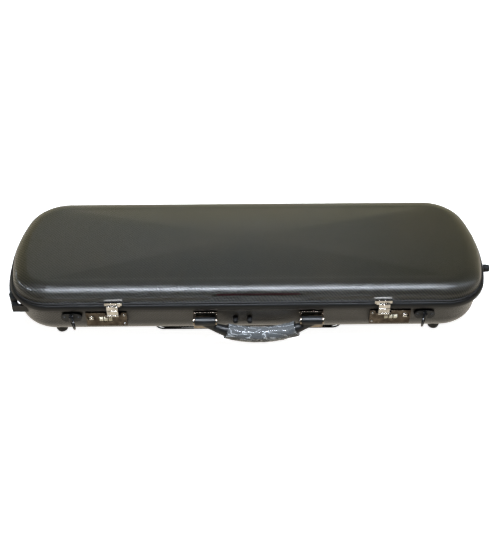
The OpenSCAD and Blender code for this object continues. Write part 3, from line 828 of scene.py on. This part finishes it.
@dataclass
class Shells:
    """Both shells, the rim band, the lid's binding and the seal."""

    outline: Outline
    finishes: Finishes
    rim_out: float = 3 * MM
    wall: float = 2.6 * MM
    lid_inset: float = 1 * MM
    lid_draft: float = 2.4 * MM
    lid_wall_h: float = 6 * MM
    shoulder_d: float = 32 * MM
    dome_h: float = 8 * MM
    dome_rings: int = 16
    ease_rounds: int = 90
    base_inset: float = 3.8 * MM
    base_draft: float = 3.6 * MM
    bottom_r: float = 33 * MM
    scoop_x: float = 16 * MM
    scoop_half: float = 92 * MM
    scoop_depth: float = 5.4 * MM
    scoop_h: float = 15 * MM
    film_edge_deg: float = 37.0
    film_edge_turn: float = 80.0

    def build(self) -> None:
        """Builds every shell piece."""
        self.lid()
        self.base()
        self.rim()
        self.binding()
        self.film_edge()

    def lid(self) -> None:
        """The domed lid with its finger scoop above the handle."""
        low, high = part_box("lid_shell")
        dome_z = high[2] - self.dome_h
        wall_top = low[2] + self.lid_wall_h
        centre = -self.lid_inset - self.lid_draft - self.shoulder_d
        arc = quarter(centre, wall_top, self.shoulder_d, dome_z - wall_top, 90, 0, 22)
        wall = blend(arc[-1], (-self.lid_inset, low[2]), (0.14, 0.28, 0.42, 0.56, 0.7, 0.85, 1.0))
        mesh = self.outline.sweep(arc + wall, closed=False)
        self.close_top(mesh, dome_z, self.dome_h)
        tidy(mesh)
        self.outline.cloth_uv(mesh)
        self.press_scoop(mesh, low[2])
        self.skin("lid_skin", mesh, "lid", "lid_shell")

    def close_top(self, mesh: bmesh.types.BMesh, edge_z: float, rise: float) -> None:
        """Closes a shell with rings that shrink towards the middle and rise as a shallow dome.

        Args:
            mesh: The open shell.
            edge_z: Height of its open edge.
            rise: Rise of the dome, 0 for a flat bottom.
        """
        row = edge_loop_at(mesh, edge_z)
        before = 1.0
        for ring in range(1, self.dome_rings):
            scale = 1 - ring / self.dome_rings
            row, moved = extruded(mesh, row)
            bmesh.ops.scale(mesh, verts=moved, vec=(scale / before, scale / before, 1))
            for vert in moved:
                vert.co.z = edge_z + rise * (1 - scale * scale)
            before = scale
        moved = extruded(mesh, row)[1]
        bmesh.ops.pointmerge(mesh, verts=moved, merge_co=(0, 0, edge_z + rise))
        # shrinking rings leave faint hips towards the corners, so the dome is eased in height only
        dome = [v for v in mesh.verts if v.co.z > edge_z + 0.02 * MM]
        for _ in range(self.ease_rounds if rise else 0):
            bmesh.ops.smooth_vert(mesh, verts=dome, factor=0.5, use_axis_z=True)

    def press_scoop(self, mesh: bmesh.types.BMesh, foot_z: float) -> None:
        """Presses a shallow scoop for the fingers into the lid's front wall.

        Args:
            mesh: The lid.
            foot_z: Height of the lid's edge.
        """
        for vert in mesh.verts:
            if vert.co.y > -self.outline.half_w + 20 * MM:
                continue
            along = 1 - abs(vert.co.x - self.scoop_x) / self.scoop_half
            up = (vert.co.z - foot_z - 0.5 * MM) / self.scoop_h
            if along > 0 and 0 < up < 1:
                ease = min(1.0, along * 3.2)
                sides = ease ** 2 * (3 - 2 * ease)
                # deepest near its top, so that it faces upwards like a finger rest
                vert.co.y += self.scoop_depth * sides * math.sin(math.pi * up ** 1.9)

    def base(self) -> None:
        """The base shell with its rounded bottom edge."""
        low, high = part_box("base_shell")
        centre = -self.base_inset - self.base_draft - self.bottom_r
        arc = quarter(centre, low[2] + self.bottom_r, self.bottom_r, self.bottom_r, -90, 0, 18)
        wall = blend(arc[-1], (-self.base_inset, high[2]), (0.25, 0.5, 0.75, 1.0))
        mesh = self.outline.sweep(arc + wall, closed=False)
        self.close_top(mesh, low[2], 0.0)
        tidy(mesh)
        self.outline.cloth_uv(mesh)
        self.cut_windows(mesh)
        self.skin("base_skin", mesh, "case", "base_shell")

    def cut_windows(self, mesh: bmesh.types.BMesh) -> None:
        """Opens the base's front wall behind each lock, where the dials turn.

        Args:
            mesh: The base.
        """
        for name in ("left", "right"):
            low = Vector(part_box(f"dial_{name}_1")[0])
            high = Vector(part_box(f"dial_{name}_3")[1])
            middles = {f: f.calc_center_median() for f in mesh.faces}
            inside = [f for f, at in middles.items() if at.y < low.y + 30 * MM
                      and low.x - 6 * MM < at.x < high.x + 6 * MM
                      and low.z - 2 * MM < at.z < high.z + 2 * MM]
            bmesh.ops.delete(mesh, geom=inside, context="FACES")

    def skin(self, name: str, mesh: bmesh.types.BMesh, body: str, node: str) -> None:
        """Gives a shell its wall and places it.

        Args:
            name: The piece's name.
            mesh: The shell's outer face.
            body: The body it moves with.
            node: The CAD node that it replaces.
        """
        corner = max(mesh.verts, key=lambda v: abs(v.co.x) + abs(v.co.y))
        outward = Vector((corner.co.x, corner.co.y, 0))
        if corner.link_faces and corner.link_faces[0].normal.dot(outward) < 0:
            bmesh.ops.reverse_faces(mesh, faces=mesh.faces)
        piece = finish_piece(name, mesh, self.finishes.shell, 60.0)
        piece.data.materials.append(self.finishes.inner)
        modifier(piece, "SOLIDIFY", thickness=self.wall, offset=-1.0, material_offset=1,
                 material_offset_rim=0)
        apply_modifiers(piece)
        place_on(piece, body, "shell", node)

    def rim(self) -> None:
        """The convex black band and the seal on its inner edge."""
        low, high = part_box("base_rim")
        inner = -self.base_inset - self.wall
        bulge = quarter(-1.2 * MM, (low[2] + high[2]) / 2, 1.2 * MM + self.rim_out,
                        (high[2] - low[2]) / 2, -84, 84, 18)
        section = [(inner, low[2]), *bulge, (-1.6 * MM, high[2]), (inner, high[2])]
        mesh = self.outline.sweep(section, closed=True)
        place_on(finish_piece("rim_band", mesh, self.finishes.rim, 50), "case", "rim", "base_rim")
        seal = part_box("rim_seal")
        offset = seal[1][0] - self.outline.half_l
        bead = quarter(offset - 1.2 * MM, seal[1][2] - 1.1 * MM, 1.2 * MM, 1.1 * MM, 0, 330, 11)
        mesh = self.outline.sweep(bead, closed=True)
        piece = finish_piece("seal_bead", mesh, self.finishes.rubber, 80)
        place_on(piece, "case", "black_rubber", "rim_seal")

    def film_edge(self) -> None:
        """The edge of the clear film where it ends round the lid's left front corner: a thin rod in
        the film's finish, whose pale colour also paints the bright highlight line along the
        shoulder.
        """
        low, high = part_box("lid_shell")
        wall_top = low[2] + self.lid_wall_h
        along = math.radians(self.film_edge_deg)
        offset = -self.lid_inset - self.lid_draft - self.shoulder_d * (1 - math.cos(along))
        height = wall_top + (high[2] - self.dome_h - wall_top) * math.sin(along)
        centre = Vector((-self.outline.corner_cx, -self.outline.corner_cy, 0))
        mesh = bmesh.new()
        ring = bmesh.ops.create_circle(mesh, cap_ends=True, radius=0.4 * MM, segments=8)["verts"]
        start = Vector((-self.outline.corner_r - offset, 0, height))
        bmesh.ops.transform(mesh, verts=ring, matrix=Matrix.Translation(centre + start)
                            @ Matrix.Rotation(math.pi / 2, 4, "X"))
        spun(mesh, ring + list(mesh.edges) + list(mesh.faces), centre,
             math.radians(self.film_edge_turn), 40)
        tidy(mesh)
        place_on(finish_piece("film_edge", mesh, self.finishes.film, 180), "lid", "film")

    def binding(self) -> None:
        """The thin rounded binding round the lid's edge."""
        low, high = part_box("lid_edge")
        out = high[0] - self.outline.half_l
        height = high[2] - low[2]
        inner = -self.lid_inset - 0.4 * MM
        nose = quarter(out - 1.2 * MM, low[2] + height * 0.45, 1.2 * MM, height * 0.45, -90, 90, 8)
        section = [(inner, low[2]), *nose, (inner, low[2] + height * 0.98)]
        mesh = self.outline.sweep(section, closed=True)
        piece = finish_piece("lid_binding", mesh, self.finishes.rubber, 50)
        place_on(piece, "lid", "rim", "lid_edge")


@dataclass
class CarryingHandle:
    """The handle: barrels and arms, padded grip and its crinkled film.

    Angles along the bend are degrees off the vertical.
    """

    finishes: Finishes
    bend_r: float = 150 * MM
    grip_deg: float = 19.5
    film_deg: float = 24.5
    arm_deg: float = 30.0
    grip_r: float = 11 * MM
    core_r: float = 6 * MM
    film_t: float = 1 * MM
    crease_depth: float = 0.8 * MM
    barrel_r: float = 7 * MM
    barrel_half: float = 16.5 * MM
    bracket_margin: float = 19.2 * MM

    def __post_init__(self) -> None:
        """Reads the handle's place from the frame."""
        grip, frame_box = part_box("handle_grip"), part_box("handle_frame")
        self.x = (frame_box[0][0] + frame_box[1][0]) / 2
        self.y = (grip[0][1] + grip[1][1]) / 2
        self.low_z = grip[0][2] + self.grip_r
        pins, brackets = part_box("handle_pins"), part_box("handle_brackets")
        self.pivot_z = (pins[0][2] + pins[1][2]) / 2
        self.barrel_x = (brackets[1][0] - brackets[0][0]) / 2 - self.bracket_margin
        self.bend_centre = Vector((self.x, self.y, self.low_z + self.bend_r))

    def on_axis(self, angle: float) -> Vector:
        """A point on the middle line of the bend.

        Args:
            angle: Angle off the vertical, in radians.

        Returns:
            The point.
        """
        return self.bend_centre + Vector((math.sin(angle), 0, -math.cos(angle))) * self.bend_r

    def angle_at(self, point: Vector) -> float:
        """How far along the bend a point lies.

        Args:
            point: The point.

        Returns:
            Its angle off the vertical, in radians.
        """
        return math.atan2(point.x - self.bend_centre.x, self.bend_centre.z - point.z)

    def tube(self, mesh: bmesh.types.BMesh, radius: float, from_deg: float, to_deg: float,
             steps: int, sides: int = 40) -> list[bmesh.types.BMVert]:
        """Spins a circle along the bend of the grip.

        Args:
            mesh: The bmesh that it grows in.
            radius: The circle's radius.
            from_deg: First angle off the vertical.
            to_deg: Last angle off the vertical.
            steps: Number of steps.
            sides: Number of points round the circle.

        Returns:
            The vertices made.
        """
        ring = bmesh.ops.create_circle(mesh, cap_ends=False, radius=radius, segments=sides)["verts"]
        start = math.radians(from_deg)
        matrix = (Matrix.Translation(self.on_axis(start)) @ Matrix.Rotation(-start, 4, "Y")
                  @ Matrix.Rotation(math.pi / 2, 4, "Y"))
        bmesh.ops.transform(mesh, matrix=matrix, verts=ring)
        edges = list({e for v in ring for e in v.link_edges})
        before = set(mesh.verts)
        spun(mesh, ring + edges, self.bend_centre, math.radians(to_deg - from_deg), steps,
             (0, -1, 0))
        return ring + [v for v in mesh.verts if v not in before]

    def swell(self, verts: list[bmesh.types.BMVert], radius: Callable[[float], float]) -> None:
        """Sets a tube's radius by its angle along the bend.

        Args:
            verts: The tube's vertices.
            radius: Radius in metres for an angle in degrees.
        """
        for vert in verts:
            angle = self.angle_at(vert.co)
            axis = self.on_axis(angle)
            vert.co = axis + (vert.co - axis).normalized() * radius(math.degrees(angle))

    def cap(self, mesh: bmesh.types.BMesh) -> None:
        """Closes a tube's open ends.

        Args:
            mesh: The tube.
        """
        bmesh.ops.holes_fill(mesh, edges=[e for e in mesh.edges if e.is_boundary], sides=0)
        tidy(mesh)

    def build(self) -> None:
        """Builds the three pieces."""
        self.arms()
        self.grip()
        self.film()

    def arms(self) -> None:
        """The moulded arms, each a blend from the bar into its barrel."""
        mesh = bmesh.new()
        self.tube(mesh, self.core_r, -self.arm_deg, self.arm_deg, 48)
        for side in (-1, 1):
            first = side * (self.grip_deg + 0.4)
            flare = self.tube(mesh, 1.0 * MM, first, side * (self.arm_deg - 0.6), 12)
            self.swell(flare, lambda deg: (9.6 - 0.31 * (abs(deg) - self.grip_deg)) * MM)
        self.cap(mesh)
        for side in (-1, 1):
            self.barrel(mesh, side)
            self.arm(mesh, side)
        piece = finish_piece("handle_arms", mesh, self.finishes.plastic, 40)
        modifier(piece, "REMESH", mode="VOXEL", voxel_size=0.8 * MM, use_smooth_shade=True)
        modifier(piece, "SMOOTH", factor=0.5, iterations=4)
        apply_modifiers(piece)
        place_on(piece, "handle", "black_plastic", "handle_frame")

    def barrel(self, mesh: bmesh.types.BMesh, side: int) -> None:
        """One barrel round its pin.

        Args:
            mesh: The bmesh that it grows in.
            side: -1 for the left one and 1 for the right one.
        """
        place = (Matrix.Translation((self.x + side * self.barrel_x, self.y, self.pivot_z))
                 @ Matrix.Rotation(math.pi / 2, 4, "Y"))
        self.rod(mesh, self.barrel_r, 2 * self.barrel_half, 40, place)

    def arm(self, mesh: bmesh.types.BMesh, side: int) -> None:
        """One arm: a hull between the end of the bar and the barrel.

        Args:
            mesh: The bmesh that it grows in.
            side: -1 for the left one and 1 for the right one.
        """
        angle = math.radians(self.arm_deg)
        tip = Vector((self.x + side * self.bend_r * math.sin(angle), self.y,
                      self.low_z + self.bend_r * (1 - math.cos(angle))))
        disc = self.rod(mesh, self.core_r + 0.5 * MM, 2 * MM, 32, Matrix.Translation(tip)
                        @ Matrix.Rotation(side * (math.pi / 2 - angle), 4, "Y"))
        middle = self.x + side * (self.barrel_x - self.barrel_half + 13 * MM)
        bar = self.rod(mesh, 5.4 * MM, 20 * MM, 32,
                       Matrix.Translation((middle, self.y, self.pivot_z - 2 * MM))
                       @ Matrix.Rotation(math.pi / 2, 4, "Y"))
        hull = bmesh.ops.convex_hull(mesh, input=disc + bar)
        bmesh.ops.delete(mesh, geom=hull["geom_interior"], context="VERTS")

    def rod(self, mesh: bmesh.types.BMesh, radius: float, length: float, sides: int,
            place: Matrix) -> list[bmesh.types.BMVert]:
        """A closed cylinder.

        Args:
            mesh: The bmesh that it grows in.
            radius: Its radius.
            length: Its length.
            sides: Number of points round it.
            place: Where it goes, from upright at the origin.

        Returns:
            Its vertices.
        """
        made = bmesh.ops.create_cone(mesh, cap_ends=True, segments=sides, radius1=radius,
                                     radius2=radius, depth=length)["verts"]
        bmesh.ops.transform(mesh, matrix=place, verts=made)
        return made

    def grip(self) -> None:
        """The padded grip, fuller in its middle and necked at both ends."""
        mesh = bmesh.new()
        verts = self.tube(mesh, self.grip_r - 0.4 * MM, -self.grip_deg, self.grip_deg, 60)
        self.cap(mesh)
        for vert in verts:
            angle = self.angle_at(vert.co)
            end = abs(math.degrees(angle)) / self.grip_deg
            axis = self.on_axis(angle)
            shrink = 1 - 0.16 * max(0.0, end - 0.9) / 0.1 - 0.04 * end * end
            vert.co = axis + (vert.co - axis) * shrink
        piece = finish_piece("grip_pad", mesh, self.finishes.leatherette, 50)
        place_on(piece, "handle", "black_rubber", "handle_grip")

    def film(self) -> None:
        """The clear wrap: a loose sleeve with creases pushed into it."""
        mesh = bmesh.new()
        verts = self.tube(mesh, self.grip_r + self.film_t * 1.2, -self.grip_deg - 1, self.film_deg,
                          150, 72)
        for vert in verts:
            out = (vert.co - self.on_axis(self.angle_at(vert.co))).normalized()
            at = Vector((vert.co.x * 0.55, vert.co.y, vert.co.z * 1.2)) / (12 * MM)
            crease = abs(noise.noise(at)) * 2.0 + 0.25 * abs(noise.noise(at * 2.7))
            vert.co += out * (1.0 - crease) * self.crease_depth
        piece = finish_piece("grip_film", mesh, self.finishes.film, 180)
        modifier(piece, "SOLIDIFY", thickness=0.12 * MM, offset=0.0)
        apply_modifiers(piece)
        place_on(piece, "handle", "film", "handle_film")


@dataclass
class Latch:
    """One combination latch; side is -1 for the left one and 1 for the right one."""

    side: int
    finishes: Finishes
    digits: int = 10

    def build(self) -> None:
        """Dresses the lock body, hasp, catch and slider, and builds the dials."""
        name = "left" if self.side < 0 else "right"
        f = self.finishes
        rows = [(f"lock_body_{name}", f"lock_case_{name}", "case", "lock_plate", f.lock, 0.5),
                (f"hasp_{name}", f"hasp_plate_{name}", f"{name}_hasp", "chrome", f.chrome, 0.4),
                (f"catch_{name}", f"catch_plate_{name}", "lid", "chrome", f.chrome, 0.6),
                (f"slider_{name}", f"slide_button_{name}", f"{name}_slider", "chrome",
                 f.chrome, 0.3)]
        for row in rows:
            broken_edges(*row)
        for number in (1, 2, 3):
            self.dial(name, number)

    def dial(self, name: str, number: int) -> None:
        """A number wheel with ten flats, broken edges and a digit on each flat.

        Args:
            name: "left" or "right".
            number: The wheel's number, from 1.
        """
        low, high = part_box(f"dial_{name}_{number}")
        centre = (Vector(low) + Vector(high)) / 2
        radius, width = (high[2] - low[2]) / 2, high[0] - low[0]
        mesh = bmesh.new()
        made = bmesh.ops.create_cone(mesh, cap_ends=True, segments=self.digits, radius1=radius,
                                     radius2=radius, depth=width * 0.96)["verts"]
        turn = Matrix.Rotation(math.pi / self.digits, 4, "X") @ Matrix.Rotation(math.pi / 2, 4, "Y")
        bmesh.ops.transform(mesh, matrix=Matrix.Translation(centre) @ turn, verts=made)
        bmesh.ops.bevel(mesh, geom=list(mesh.edges), offset=0.35 * MM, segments=2, profile=0.5,
                        affect="EDGES", material=-1)
        tidy(mesh)
        wheel = finish_piece(f"dial_wheel_{name}_{number}", mesh, self.finishes.ivory, 25)
        place_on(wheel, f"{name}_dial_{number}", "dial", f"dial_{name}_{number}")
        self.numerals(f"dial_marks_{name}_{number}", f"{name}_dial_{number}", centre, radius)

    def numerals(self, name: str, body: str, centre: Vector, radius: float) -> None:
        """The ten painted digits of one wheel, as one thin raised mesh.

        Args:
            name: The piece's name.
            body: The wheel's body.
            centre: The wheel's centre.
            radius: The wheel's radius.
        """
        joined = bmesh.new()
        flat = radius * math.cos(math.pi / self.digits)
        for digit in range(self.digits):
            text = bpy.data.curves.new("digit", "FONT")
            text.body = str(digit)
            text.size, text.extrude = 2.5 * MM, 0.04 * MM
            text.align_x, text.align_y = "CENTER", "CENTER"
            holder = bpy.data.objects.new("digit", text)
            data = bpy.data.meshes.new_from_object(holder)
            spin = Matrix.Rotation(math.radians(90 + 360 / self.digits * digit), 4, "X")
            lift = Matrix.Translation((0, 0, flat + 0.02 * MM))
            data.transform(Matrix.Translation(centre) @ spin @ lift)
            joined.from_mesh(data)
            bpy.data.objects.remove(holder)
            bpy.data.meshes.remove(data)
        piece = finish_piece(name, joined, self.finishes.ink, 30)
        place_on(piece, body, "dial")


@dataclass
class Fittings:
    """Small hard parts whose CAD shape is right and only wants broken edges and a finish."""

    finishes: Finishes

    def build(self) -> None:
        """Dresses every fitting."""
        f = self.finishes
        rows = [
            ("ring_plates", "ring_mounts", "case", "black_plastic", f.plastic, 0.6),
            ("strap_ring_left", "swivel_ring_left", "left_ring", "black_steel", f.enamel, 0.15),
            ("strap_ring_right", "swivel_ring_right", "right_ring", "black_steel", f.enamel, 0.15),
            ("handle_brackets", "bracket_plates", "case", "chrome", f.bracket, 0.2),
            ("handle_pins", "pivot_pins", "case", "steel", f.steel, 0.4),
            ("handle_buffers", "rubber_buffers", "case", "black_rubber", f.rubber, 0.4),
            ("latch_rivets", "lock_rivets", "case", "steel", f.steel, 0.3),
            ("dial_axles", "wheel_axles", "case", "steel", f.steel, 0.1),
            ("hasp_pins", "hasp_axles", "case", "steel", f.steel, 0.2),
            ("base_feet", "floor_feet", "case", "black_rubber", f.rubber, 0.8),
            ("spine_feet", "back_feet", "case", "black_rubber", f.rubber, 0.8),
            ("end_feet", "side_feet", "case", "black_rubber", f.rubber, 0.8),
            ("side_posts", "strap_posts", "case", "black_plastic", f.plastic, 0.3),
            ("side_strap_ends", "strap_sleeves", "end_strap", "black_plastic", f.plastic, 0.3),
            ("base_hinge_leaves", "fixed_leaves", "case", "black_steel", f.enamel, 0.25),
            ("lid_hinge_leaves", "swinging_leaves", "lid", "black_steel", f.enamel, 0.25),
            ("hinge_pins", "hinge_rods", "case", "steel", f.steel, 0.3),
            ("accessory_tray", "tray_box", "case", "black_plastic", f.plastic, 0.5),
            ("string_tube", "spare_string_tube", "case", "black_plastic", f.plastic, 0.5),
            ("hygrometer", "humidity_gauge", "case", "brass", f.brass, 0.4),
            ("tray_lid_pin", "tray_hinge", "case", "steel", f.steel, 0.2),
            ("bow_rails", "bow_bars", "lid", "wood", f.wood, 1.0),
            ("bow_clip_front", "turn_clip_front", "front_clip", "wood", f.wood, 0.7),
            ("bow_clip_back", "turn_clip_back", "back_clip", "wood", f.wood, 0.7),
            ("tray_tab", "pull_tab", "case", "webbing", f.webbing, 0.3),
            ("neck_strap", "neck_band", "case", "webbing", f.webbing, 0.4),
        ]
        for node, name, body, slot, material, width in rows:
            broken_edges(node, name, body, slot, material, width)


@dataclass
class SoftParts:
    """The back cushion, the end strap and the lining."""

    outline: Outline
    finishes: Finishes
    cushion_voxel: float = 4.5 * MM
    cushion_frames: int = 20
    swell: float = 3 * MM
    corner: float = 18 * MM
    piping_r: float = 1.4 * MM
    piping_z: float = 4.5 * MM

    def build(self) -> None:
        """Builds every soft piece."""
        self.cushion()
        self.strap()
        f = self.finishes
        softened("base_insert", "violin_bed", "case", "plush", f.plush, 3.0, 6)
        softened("lid_liner", "lid_padding", "lid", "plush", f.plush, 3.0, 6)
        softened("neck_cradle", "neck_rest", "case", "plush", f.plush, 1.2, 6)
        softened("bow_sleeves", "bow_pockets", "lid", "plush", f.plush, 0.9, 4)
        softened("tray_lid", "padded_tray_lid", "case", "plush", f.plush, 1.2, 5)

    def cushion(self) -> None:
        """The back cushion, swelled by cloth and flat where it meets the floor and the shell."""
        low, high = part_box("back_cushion")
        size = Vector(high) - Vector(low)
        middle = (Vector(high) + Vector(low)) / 2
        mesh = bmesh.new()
        bmesh.ops.create_cube(mesh, size=1.0)
        bmesh.ops.scale(mesh, verts=mesh.verts,
                        vec=(size.x - 2 * MM, size.y - 2 * MM, size.z - 1 * MM))
        upright = [e for e in mesh.edges if abs(e.verts[0].co.z - e.verts[1].co.z) > 1 * MM]
        bmesh.ops.bevel(mesh, geom=upright, offset=self.corner, segments=8, profile=0.5,
                        affect="EDGES", material=-1)
        rims = [e for e in mesh.edges if abs(e.verts[0].co.z - e.verts[1].co.z) < 0.01 * MM]
        bmesh.ops.bevel(mesh, geom=rims, offset=2.4 * MM, segments=4, profile=0.5, affect="EDGES",
                        material=-1)
        bmesh.ops.translate(mesh, verts=mesh.verts, vec=middle)
        tidy(mesh)
        piece = finish_piece("cushion_pad", mesh, self.finishes.cushion, 180)
        modifier(piece, "REMESH", mode="VOXEL", voxel_size=self.cushion_voxel,
                 use_smooth_shade=True)
        apply_modifiers(piece)
        self.inflate(piece)
        self.flatten(piece, high[2])
        modifier(piece, "SUBSURF", levels=1, render_levels=1)
        apply_modifiers(piece)
        self.flatten(piece, high[2])
        box_cloth_uv(piece)
        piece.data.materials.clear()
        piece.data.materials.append(self.finishes.cushion)
        place_on(piece, "case", "webbing", "back_cushion")
        self.piping(low, high)

    def flatten(self, piece: bpy.types.Object, top: float) -> None:
        """Keeps a piece between the floor and a height.

        Args:
            piece: The piece.
            top: The height.
        """
        for vert in piece.data.vertices:
            vert.co.z = min(max(vert.co.z, 0.0), top)

    def inflate(self, piece: bpy.types.Object) -> None:
        """Swells a piece with a cloth simulation and caps how far a point may move.

        Args:
            piece: The piece.
        """
        start = [v.co.copy() for v in piece.data.vertices]
        cloth = piece.modifiers.new("cloth", "CLOTH").settings
        cloth.use_pressure = True
        cloth.uniform_pressure_force = 4
        cloth.effector_weights.gravity = 0
        scene = bpy.context.scene
        for number in range(1, self.cushion_frames + 1):
            scene.frame_set(number)
        apply_modifiers(piece)
        scene.frame_set(1)
        for vert, home in zip(piece.data.vertices, start):
            move = vert.co - home
            if move.length > self.swell:
                vert.co = home + move.normalized() * self.swell

    def piping(self, low: Vector, high: Vector) -> None:
        """The sewn cord round the cushion's edge.

        Args:
            low: The cushion's lowest corner.
            high: The cushion's highest corner.
        """
        mesh = bmesh.new()
        half = (Vector(high) - Vector(low)) / 2
        inner = half - Vector((self.corner, self.corner, 0))
        ring = bmesh.ops.create_circle(mesh, cap_ends=False, radius=self.piping_r,
                                       segments=10)["verts"]
        start = Matrix.Translation((half.x - self.piping_r, -inner.y, self.piping_z))
        bmesh.ops.transform(mesh, verts=ring, matrix=start @ Matrix.Rotation(math.pi / 2, 4, "X"))
        row = list({e for v in ring for e in v.link_edges})
        legs = [((0, 2 * inner.y, 0), (1, 1)), ((-2 * inner.x, 0, 0), (-1, 1)),
                ((0, -2 * inner.y, 0), (-1, -1)), ((2 * inner.x, 0, 0), (1, -1))]
        for step, (sx, sy) in legs:
            row, moved = extruded(mesh, row)
            bmesh.ops.translate(mesh, verts=moved, vec=step)
            row = spun(mesh, row + moved, (sx * inner.x, sy * inner.y, 0), math.pi / 2, 10)
        tidy(mesh)
        piece = finish_piece("cushion_piping", mesh, self.finishes.rubber, 180)
        place_on(piece, "case", "webbing")

    def strap(self) -> None:
        """The end strap: a padded webbing band with rounded edges."""
        piece = finish_piece("end_strap_band", copy_of("side_strap"), self.finishes.webbing, 180)
        modifier(piece, "REMESH", mode="VOXEL", voxel_size=1.3 * MM, use_smooth_shade=True)
        modifier(piece, "SMOOTH", factor=0.5, iterations=8)
        apply_modifiers(piece)
        self.band_uv(piece)
        piece.data.materials.clear()
        piece.data.materials.append(self.finishes.webbing)
        place_on(piece, "end_strap", "webbing", "side_strap")

    def band_uv(self, piece: bpy.types.Object) -> None:
        """Runs the webbing's weave along the band: length by height.

        Args:
            piece: The band.
        """
        layer = piece.data.uv_layers.new(name="cloth")
        for loop in piece.data.loops:
            point = piece.data.vertices[loop.vertex_index].co
            layer.data[loop.index].uv = (point.y * 1.1 + point.x * 0.3, point.z)


# ---------------------------------------------------------------- stage

@dataclass
class Studio:
    """Pale floor, soft lights, a dim warm room to reflect, and the camera."""

    distance: float = 1.4085
    target: tuple[float, float, float] = (0.0, 0.0, 0.0702)
    elevation_deg: float = 39.5
    azimuth_deg: float = -0.77
    lens_mm: float = 54.1
    shift: tuple[float, float] = (0.0048, -0.0200)
    floor_half: float = 80.0
    floor_glow: float = 0.92
    room_strength: float = 1.15

    def build(self) -> None:
        """Builds the stage."""
        self.camera()
        self.floor()
        self.room()
        # a long soft box overhead, which draws the bright line along the front shoulder
        self.light("overhead", (0.0, -0.36, 1.5), (0, 0, 0.1), (1.5, 0.2), 50, "#eaf2ff")
        self.light("left_fill", (-1.6, -1.4, 1.5), (0, 0, 0.05), (1.2, 1.2), 4, "#fffaf2")
        self.light("right_fill", (1.7, -1.2, 1.6), (0, 0, 0.05), (1.2, 1.2), 4, "#ffffff")

    def camera(self) -> None:
        """The camera at the chosen viewing angle."""
        data = bpy.data.cameras.new("camera")
        data.lens, data.sensor_width = self.lens_mm, 36
        data.shift_x, data.shift_y = self.shift
        camera = bpy.data.objects.new("camera", data)
        turn, tilt = math.radians(self.azimuth_deg), math.radians(self.elevation_deg)
        back = Vector((math.sin(turn) * math.cos(tilt), -math.cos(turn) * math.cos(tilt),
                       math.sin(tilt)))
        camera.location = Vector(self.target) + back * self.distance
        camera.rotation_euler = (math.pi / 2 - tilt, 0, turn)
        bpy.context.scene.collection.objects.link(camera)
        bpy.context.scene.camera = camera

    def floor(self) -> None:
        """A plain pale floor."""
        mesh = bmesh.new()
        bmesh.ops.create_grid(mesh, x_segments=2, y_segments=2, size=self.floor_half)
        material, _, shader = blank("pale_floor")
        preset(shader, {"Base Color": linear("#fbfbfb"), "Roughness": 0.9,
                        "Specular IOR Level": 0.0, "Emission Color": linear("#ffffff"),
                        "Emission Strength": self.floor_glow})
        floor = finish_piece("floor", mesh, material)
        floor.visible_diffuse = floor.visible_glossy = False

    def room(self) -> None:
        """A dim warm room behind, so that the gloss lid stays dark."""
        world = bpy.data.worlds.new("room")
        world.use_nodes = True
        bpy.context.scene.world = world
        tree = world.node_tree
        place = add(tree, "TexCoord").outputs["Generated"]
        split = add(tree, "SeparateXYZ", {}, {0: place})
        from_back = maths(tree, "MULTIPLY", maths(tree, "SUBTRACT", 1.0, split.outputs[1]), 0.8)
        depth = maths(tree, "ADD", split.outputs[2], from_back)
        above = ramp(tree, depth, "#c6bf98", "#0d1113", 0.34, 0.7)
        over = add(tree, "MapRange", {"From Min": -0.25, "From Max": 0.02},
                   {0: split.outputs[2]}).outputs[0]
        colour = add(tree, "Mix", {"data_type": "RGBA", 6: linear("#d8d0c2")},
                     {0: over, 7: above}).outputs[2]
        back = tree.nodes["Background"]
        tree.links.new(colour, back.inputs[0])
        back.inputs[1].default_value = self.room_strength

    def light(self, name: str, place: tuple[float, float, float], aim: tuple[float, float, float],
              size: tuple[float, float], power: float, colour: str) -> None:
        """Adds one area light.

        Args:
            name: The light's name.
            place: Where it stands.
            aim: What it points at.
            size: Its width and height.
            power: Its power in watts.
            colour: Its hex colour.
        """
        data = bpy.data.lights.new(name, "AREA")
        data.shape, data.energy, data.color = "RECTANGLE", power, linear(colour)[:3]
        data.size, data.size_y = size
        lamp = bpy.data.objects.new(name, data)
        lamp.location = place
        lamp.rotation_euler = (Vector(aim) - Vector(place)).to_track_quat("-Z", "Y").to_euler()
        bpy.context.scene.collection.objects.link(lamp)


def main() -> None:
    """Builds the stage and the case."""
    logging.basicConfig(level=logging.INFO, format="%(message)s")
    bpy.context.scene.view_settings.view_transform = "Standard"
    Studio().build()
    finishes = Finishes()
    rim_low, rim_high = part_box("base_rim")
    rim_out = 3 * MM
    outline = Outline(rim_high[0] - rim_out, rim_high[1] - rim_out)
    Shells(outline, finishes, rim_out).build()
    CarryingHandle(finishes).build()
    for side in (-1, 1):
        Latch(side, finishes).build()
    Fittings(finishes).build()
    SoftParts(outline, finishes).build()


if __name__ == "__main__":
    main()
